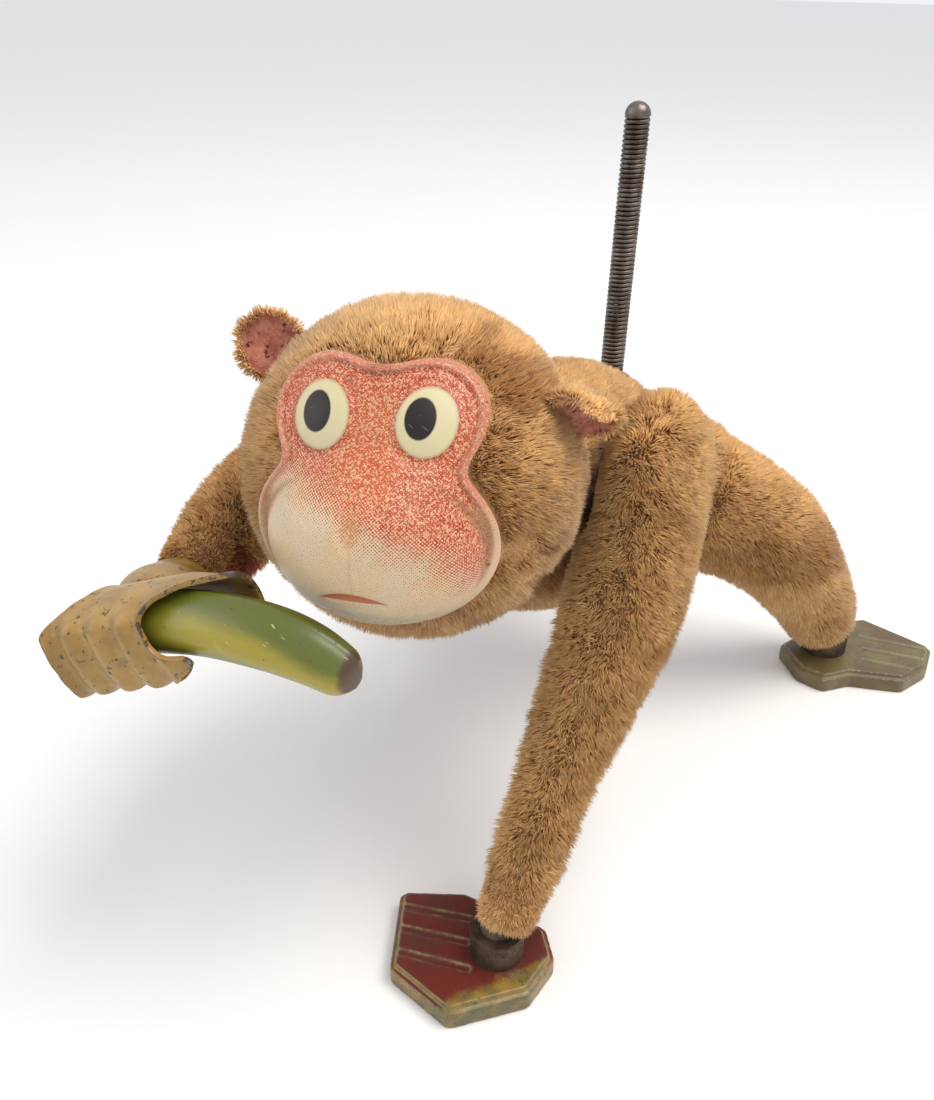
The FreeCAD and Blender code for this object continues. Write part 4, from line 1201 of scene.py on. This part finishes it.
GRIP = np.array((-24.4, -80.7, 73.2)) * MM
GRIP_ALONG = unit(np.array((0.92, 0.16, 0.36)))
HAND_T = 0.7 * MM
HAND_HALF = 10.8 * MM     # half the width across the four fingers
HAND_ROWS = 90
HAND_COLUMNS = 84
FINGERS = 4


def hand_turn():
    """One turn of the plate across the banana, wrist first: its angles and its reaches."""
    turn = np.array(((-50, 7.4), (-30, 7.3), (-5, 7.2), (28, 7.2), (62, 7.2), (92, 7.0), (116, 7.5),
                     (136, 8.5), (148, 8.6), (164, 7.7), (190, 7.1), (212, 7.6), (228, 8.4), (242, 8.0),
                     (262, 7.2)))
    angles, reaches = (spread_along(column, HAND_ROWS) for column in turn.T)
    return np.radians(angles), reaches * MM


def hand_row(down, angle, reach, outside):
    """One row of the plate; down is 0 at the wrist and 1 at the finger tips."""
    slots = smooth_step(0.40, 0.55, down)
    palm = smooth_step(0.46, 0.26, down)
    thumb = math.exp(-((down - 0.77) / 0.055) ** 2)
    right_edge = HAND_HALF + MM * (9.0 * palm - 2.6 * slots + 5.8 * thumb)
    left_edge = -HAND_HALF + 7.0 * MM * smooth_step(0.58, 0.22, down)
    shares = np.linspace(0, 1, HAND_COLUMNS)
    positions = left_edge + (right_edge - left_edge) * shares
    ridge = np.cos(math.pi * (positions / HAND_HALF + 1) * FINGERS + 0.9 * down)
    tuck = smooth_step(HAND_HALF, HAND_HALF + 9 * MM, positions) * smooth_step(0.46, 0.30, down)
    roll = np.exp(-((shares - 1) / 0.035) ** 2) + np.exp(-(shares / 0.035) ** 2)
    swell = reach + MM * (0.42 * slots * ridge + 0.30 * math.sin(3 * math.pi * down) - 1.2 * tuck)
    swell = swell + 0.25 * MM * roll if outside else swell - HAND_T
    scallop = 0.9 * MM * ridge * smooth_step(0.93, 1.0, down)
    turned = (angle + scallop / reach)[:, None]
    across = unit(np.cross(GRIP_ALONG, (0, 0, 1.0)))
    over = np.cross(across, GRIP_ALONG)
    direction = np.sin(turned) * over - np.cos(turned) * across
    return GRIP + positions[:, None] * GRIP_ALONG + direction * swell[:, None]


def plate_faces(rows, columns):
    """Faces of a bent plate: its outer skin, then its inner skin, and the strips round the edge."""
    inner = rows * columns
    faces = []
    for i in range(rows - 1):
        for j in range(columns - 1):
            a = i * columns + j
            faces.append((a, a + 1, a + 1 + columns, a + columns))
            b = inner + a
            faces.append((b, b + columns, b + 1 + columns, b + 1))
    for i in range(rows - 1):
        a = i * columns
        faces.append((a, a + columns, inner + a + columns, inner + a))
        a += columns - 1
        faces.append((a, inner + a, inner + a + columns, a + columns))
    for j in range(columns - 1):
        faces.append((j, inner + j, inner + j + 1, j + 1))
        a = (rows - 1) * columns + j
        faces.append((a, a + 1, inner + a + 1, inner + a))
    return faces


def make_hand():
    """A single bent plate: palm behind the banana, fingers over it and under its lower side."""
    rows = []
    for outside in (True, False):
        for i, (angle, reach) in enumerate(zip(*hand_turn())):
            rows.append(hand_row(i / (HAND_ROWS - 1), angle, reach, outside))
    piece = new_object("banana_hand", np.concatenate(rows), plate_faces(HAND_ROWS, HAND_COLUMNS))
    bevel = piece.modifiers.new("rounded_edges", "BEVEL")
    bevel.width = 0.18 * MM
    bevel.segments = 2
    bevel.angle_limit = math.radians(50)
    baked(piece)
    finish_piece(piece, hand_paint(), "right_arm", "hand_paint", "right_hand_fingers")


def make_palm():
    """The back of the hand, a flattened shell from the cuff to the plate."""
    path = curve_through(np.array(((-33.8, -60.5, 68.4), (-32.6, -65.5, 69.2), (-29.5, -70.5, 71.5),
                                   (-26.5, -74.8, 74.2))) * MM, 8)
    radii = smooth_radii((4.6, 5.4, 5.9, 4.2), len(path)) * MM
    vertices, faces = tube_mesh(path, radii, columns=36, flat=1.25)
    piece = soft_form("hand_back", [(vertices, faces)], voxel=0.6 * MM, rounds=6)
    finish_piece(piece, hand_paint(), "right_arm", "hand_paint", "right_hand_palm")


def hand_paint():
    """Gold lacquer, darker in the hollows with painted shade, chipped to dark iron along its edges."""
    # the third colour is the painted shade laid into the hollows
    return worn_paint("hand_paint", (0.25, 0.135, 0.020), (0.36, 0.205, 0.042), (0.08, 0.042, 0.014),
                      (0.06, 0.036, 0.020), 0.68, 0.40)


# ---------------------------------------------------------------- paw and feet

def stamped(name, node, body, slot, material):
    """The CAD stamping with its bends softened, on a dense even mesh."""
    source = frame["nodes"][node].data
    vertices = vertex_array(source)
    faces = [tuple(polygon.vertices) for polygon in source.polygons]
    piece = soft_form(name, [(vertices, faces)], voxel=0.24 * MM, rounds=12)
    finish_piece(piece, material, body, slot, node)


def paw_paint():
    """Maroon over gold: the gold shows round the walls and across the heel."""
    # the third colour is the painted shade laid into the hollows
    material = worn_paint("paw_paint", (0.115, 0.013, 0.007), (0.075, 0.012, 0.007),
                          (0.030, 0.012, 0.008), (0.12, 0.060, 0.022), 0.40, 0.36)
    tree = Tree(material)
    base = tree.shader.inputs["Base Color"].links[0].from_socket
    place = tree.place()
    x, y, _ = tree.separate(place)
    geometry = tree.nodes.new("ShaderNodeNewGeometry")
    upright = tree.separate(geometry.outputs["Normal"])[2]
    ragged = tree.times(tree.minus(tree.noise(place, 420.0, 5.0, 0.7), 0.5), 6.0)
    wall = tree.ramp(tree.plus(upright, tree.times(ragged, 0.08)), 0.93, 0.80)
    wrist = middle("left_wrist_collar") / MM
    heel = tree.plus(tree.times(tree.minus(x, wrist[0] * MM), 835.0),
                     tree.times(tree.minus(y, wrist[1] * MM), -550.0))
    heel = tree.ramp(tree.plus(heel, ragged), 4.6, 7.4)
    cloud = tree.noise(place, 260.0, 5.0, 0.6)
    gold = tree.mix(tree.ramp(cloud, 0.35, 0.65), (0.25, 0.145, 0.022), (0.095, 0.085, 0.025))
    specks = tree.ramp(tree.noise(place, 900.0, 3.0, 0.7), 0.60, 0.66)
    gold = tree.mix(specks, gold, (0.05, 0.035, 0.015))
    tree.colour(tree.mix(tree.larger(wall, heel), base, gold))
    return material


def make_paws():
    stamped("left_paw", "left_paw_top", "left_arm", "paw_paint", paw_paint())
    # the third colour is the painted shade laid into the hollows
    foot = worn_paint("foot_paint", (0.135, 0.105, 0.030), (0.105, 0.060, 0.024), (0.045, 0.032, 0.018),
                      (0.23, 0.19, 0.10), 0.60, 0.42)
    for side in ("left", "right"):
        stamped(side + "_foot", side + "_foot_top", side + "_leg", "foot_paint", foot)


# ---------------------------------------------------------------- tail

WIRE_R = 0.45 * MM


def make_tail():
    """The close-wound wire itself, as one helix, on the axis of the CAD spring."""
    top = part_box("tail_spring")[1][2]
    lean = math.radians(1.9)
    axis = np.array((math.sin(lean), 0, math.cos(lean)))
    coil_r = 2.6 * MM - WIRE_R
    start = TAIL + axis * 2.8 * MM
    length = (top - start[2]) / axis[2]
    turns = int(length / (2 * WIRE_R * 1.02))
    per_turn, columns = 28, 8
    side = np.array((axis[2], 0, -axis[0]))
    depth = np.cross(axis, side)
    steps = np.arange(turns * per_turn + 1)
    around = 2 * math.pi * steps / per_turn
    height = steps / per_turn * length / turns
    outward = np.cos(around)[:, None] * side + np.sin(around)[:, None] * depth
    centre = start + axis * height[:, None] + outward * coil_r
    vertices = []
    for i in range(len(steps)):
        for j in range(columns):
            angle = 2 * math.pi * j / columns
            vertices.append(centre[i] + WIRE_R * (math.cos(angle) * outward[i] + math.sin(angle) * axis))
    faces = []
    for i in range(len(steps) - 1):
        for j in range(columns):
            a = i * columns + j
            b = i * columns + (j + 1) % columns
            faces.append((a, a + columns, b + columns, b))
    faces.append(tuple(range(columns)))
    last = (len(steps) - 1) * columns
    faces.append(tuple(last + columns - 1 - j for j in range(columns)))
    piece = new_object("tail_coil", vertices, faces)
    steel = aged_metal("tail_steel", (0.17, 0.145, 0.125), (0.085, 0.062, 0.048), 0.36, 0.60)
    finish_piece(piece, steel, "tail", "spring_steel", "tail_spring")
    dress(("tail_cap",), steel)


# ---------------------------------------------------------------- ears

EAR_THICK = 1.1           # millimetres


def leaf_faces(rows, columns):
    """Faces of a thin closed leaf: front rings, back rings, then the two middles."""
    block = rows * columns
    faces = []
    for i in range(rows - 1):
        for j in range(columns):
            a = i * columns + j
            b = i * columns + (j + 1) % columns
            faces.append((a, b, b + columns, a + columns))
            faces.append((block + a, block + a + columns, block + b + columns, block + b))
    for j in range(columns):
        a = (rows - 1) * columns + j
        b = (rows - 1) * columns + (j + 1) % columns
        faces.append((a, b, block + b, block + a))
    front, back = 2 * block, 2 * block + 1
    for j in range(columns):
        faces.append((front, (j + 1) % columns, j))
        faces.append((back, block + j, block + (j + 1) % columns))
    return faces


def make_ear(name, node, centre, normal, up, width, height, cup, fold, seed):
    """A felt ear: a cupped leaf with a plush rim; fold bends its upper half over the front."""
    turn = np.array(TO_HEAD.to_3x3())
    normal = unit(np.array(normal, float))
    up = unit(np.array(up, float) - normal * np.dot(up, normal))
    side = np.cross(up, normal)
    rows, columns = 20, 48

    def place(share, around, skin):
        u = share * math.cos(around) * width
        v = share * math.sin(around) * height
        bend = fold * max(0.0, v / height) ** 1.5
        rim = 0.55 * math.exp(-((share - 0.93) / 0.10) ** 2)
        out = cup * (u / width) ** 2 + rim + skin * EAR_THICK
        out += 0.5 * (float(noise(np.array([[u, v, seed]]), 3.0, seed)[0]) - 0.5)
        out += abs(v) * math.sin(bend)
        return np.array(centre) + side * u + up * v * math.cos(bend) + normal * out

    vertices = []
    for skin in (0, -1):
        for i in range(1, rows + 1):
            for j in range(columns):
                vertices.append(place(i / rows, 2 * math.pi * j / columns, skin))
    vertices.append(place(0, 0, 0))
    vertices.append(place(0, 0, -1))
    points = np.array(vertices) * MM @ turn.T + HEAD
    skin = new_object(name + "_cloth", points, leaf_faces(rows, columns))
    finish_piece(skin, felt(), "head", "felt", node, "ear_linings")
    normal_row = turn @ normal
    middle_point = turn @ (np.array(centre) * MM) + HEAD
    up_row, side_row = turn @ up, turn @ side

    def comb(points, normals):
        away = points - middle_point
        away = away - np.outer(away @ normal_row, normal_row)
        return unit(away)

    def trim(points, normals):
        away = points - middle_point
        share = np.hypot(away @ side_row / (width * MM), away @ up_row / (height * MM))
        inside = (normals @ normal_row > 0.15) & (share < 0.84)
        ragged = smooth_step(0.25, 0.5, noise(points, 1.3 * MM, seed + 4))
        return np.where(inside, 0.0, 0.62 * (0.5 + 0.5 * ragged))

    def shade(points, normals):
        return 0.58 + 0.6 * (noise(points, 2.5 * MM, seed + 2) - 0.5)

    grow_pile(name + "_pile", skin, "head", comb, shade, length=2.0 * MM, trim=trim,
              per_square_mm=12.0, lean=0.6, seed=seed)


def felt():
    """Worn pink felt with dark holes and a mottled nap."""
    material = node_material("ear_felt", 0.95)
    tree = Tree(material)
    place = tree.place()
    mottle = tree.noise(place, 420.0, 4.0, 0.65)
    fibre = tree.noise(place, 2600.0, 3.0, 0.7)
    colour = tree.mix(tree.ramp(mottle, 0.35, 0.65), (0.30, 0.075, 0.045), (0.50, 0.19, 0.12))
    colour = tree.mix(tree.ramp(fibre, 0.55, 0.75), colour, (0.60, 0.30, 0.18))
    colour = tree.mix(tree.ramp(tree.noise(place, 700.0, 3.0), 0.62, 0.68), colour, (0.10, 0.02, 0.015))
    tree.colour(colour)
    tree.shader.inputs["Sheen Weight"].default_value = 0.25
    tree.bump(fibre, 0.00025, 0.8)
    return material


make_banana()
make_hand()
make_palm()
make_paws()
make_tail()
make_ear("right_ear", "ear_right", (-23.4, -3.2, 17.9), (0.22, -1.0, 0.10), (-0.62, 0.0, 0.78),
         5.2, 5.9, 1.2, 0.25, 21)
make_ear("left_ear", "ear_left", (26.4, -5.6, 12.0), (0.30, -0.70, -0.55), (0.45, -0.25, 0.72),
         6.4, 5.0, 0.8, 1.0, 22)


# ---------------------------------------------------------------- stage

def add_camera():
    data = bpy.data.cameras.new("camera")
    data.lens = CAMERA_LENS
    data.sensor_width = 36.0
    data.clip_start = 0.01
    data.clip_end = 20.0
    camera = bpy.data.objects.new("camera", data)
    bpy.context.collection.objects.link(camera)
    camera.location = CAMERA_AT
    camera.rotation_euler = (math.radians(90 + CAMERA_PITCH), 0, math.radians(CAMERA_AZIMUTH))
    bpy.context.scene.camera = camera


def add_area_light(name, place, aim, size, power, colour):
    data = bpy.data.lights.new(name, "AREA")
    data.shape = "RECTANGLE"
    data.size = size
    data.size_y = size
    data.energy = power
    data.color = colour
    light = bpy.data.objects.new(name, data)
    light.location = place
    direction = Vector(aim) - Vector(place)
    light.rotation_euler = direction.to_track_quat("-Z", "Y").to_euler()
    bpy.context.collection.objects.link(light)


def add_stage():
    bpy.ops.mesh.primitive_plane_add(size=6.0, location=(0, 0, 0))
    floor = bpy.context.object
    floor.name = "floor"
    material = node_material("floor", roughness=0.85)
    shader = material.node_tree.nodes["Principled BSDF"]
    shader.inputs["Base Color"].default_value = (0.82, 0.81, 0.79, 1)
    floor.data.materials.append(material)
    world = bpy.data.worlds.new("world")
    bpy.context.scene.world = world
    world.use_nodes = True
    background = world.node_tree.nodes["Background"]
    background.inputs["Color"].default_value = (0.93, 0.95, 1.0, 1)
    background.inputs["Strength"].default_value = 0.95
    bpy.context.scene.view_settings.view_transform = "Standard"
    add_area_light("key", (0.35, 0.10, 0.75), (0, 0, 0.05), 0.5, 5.0, (1.0, 0.97, 0.92))
    add_area_light("fill", (-0.6, -0.5, 0.5), (0, 0, 0.05), 0.6, 1.5, (0.95, 0.97, 1.0))


add_camera()
add_stage()
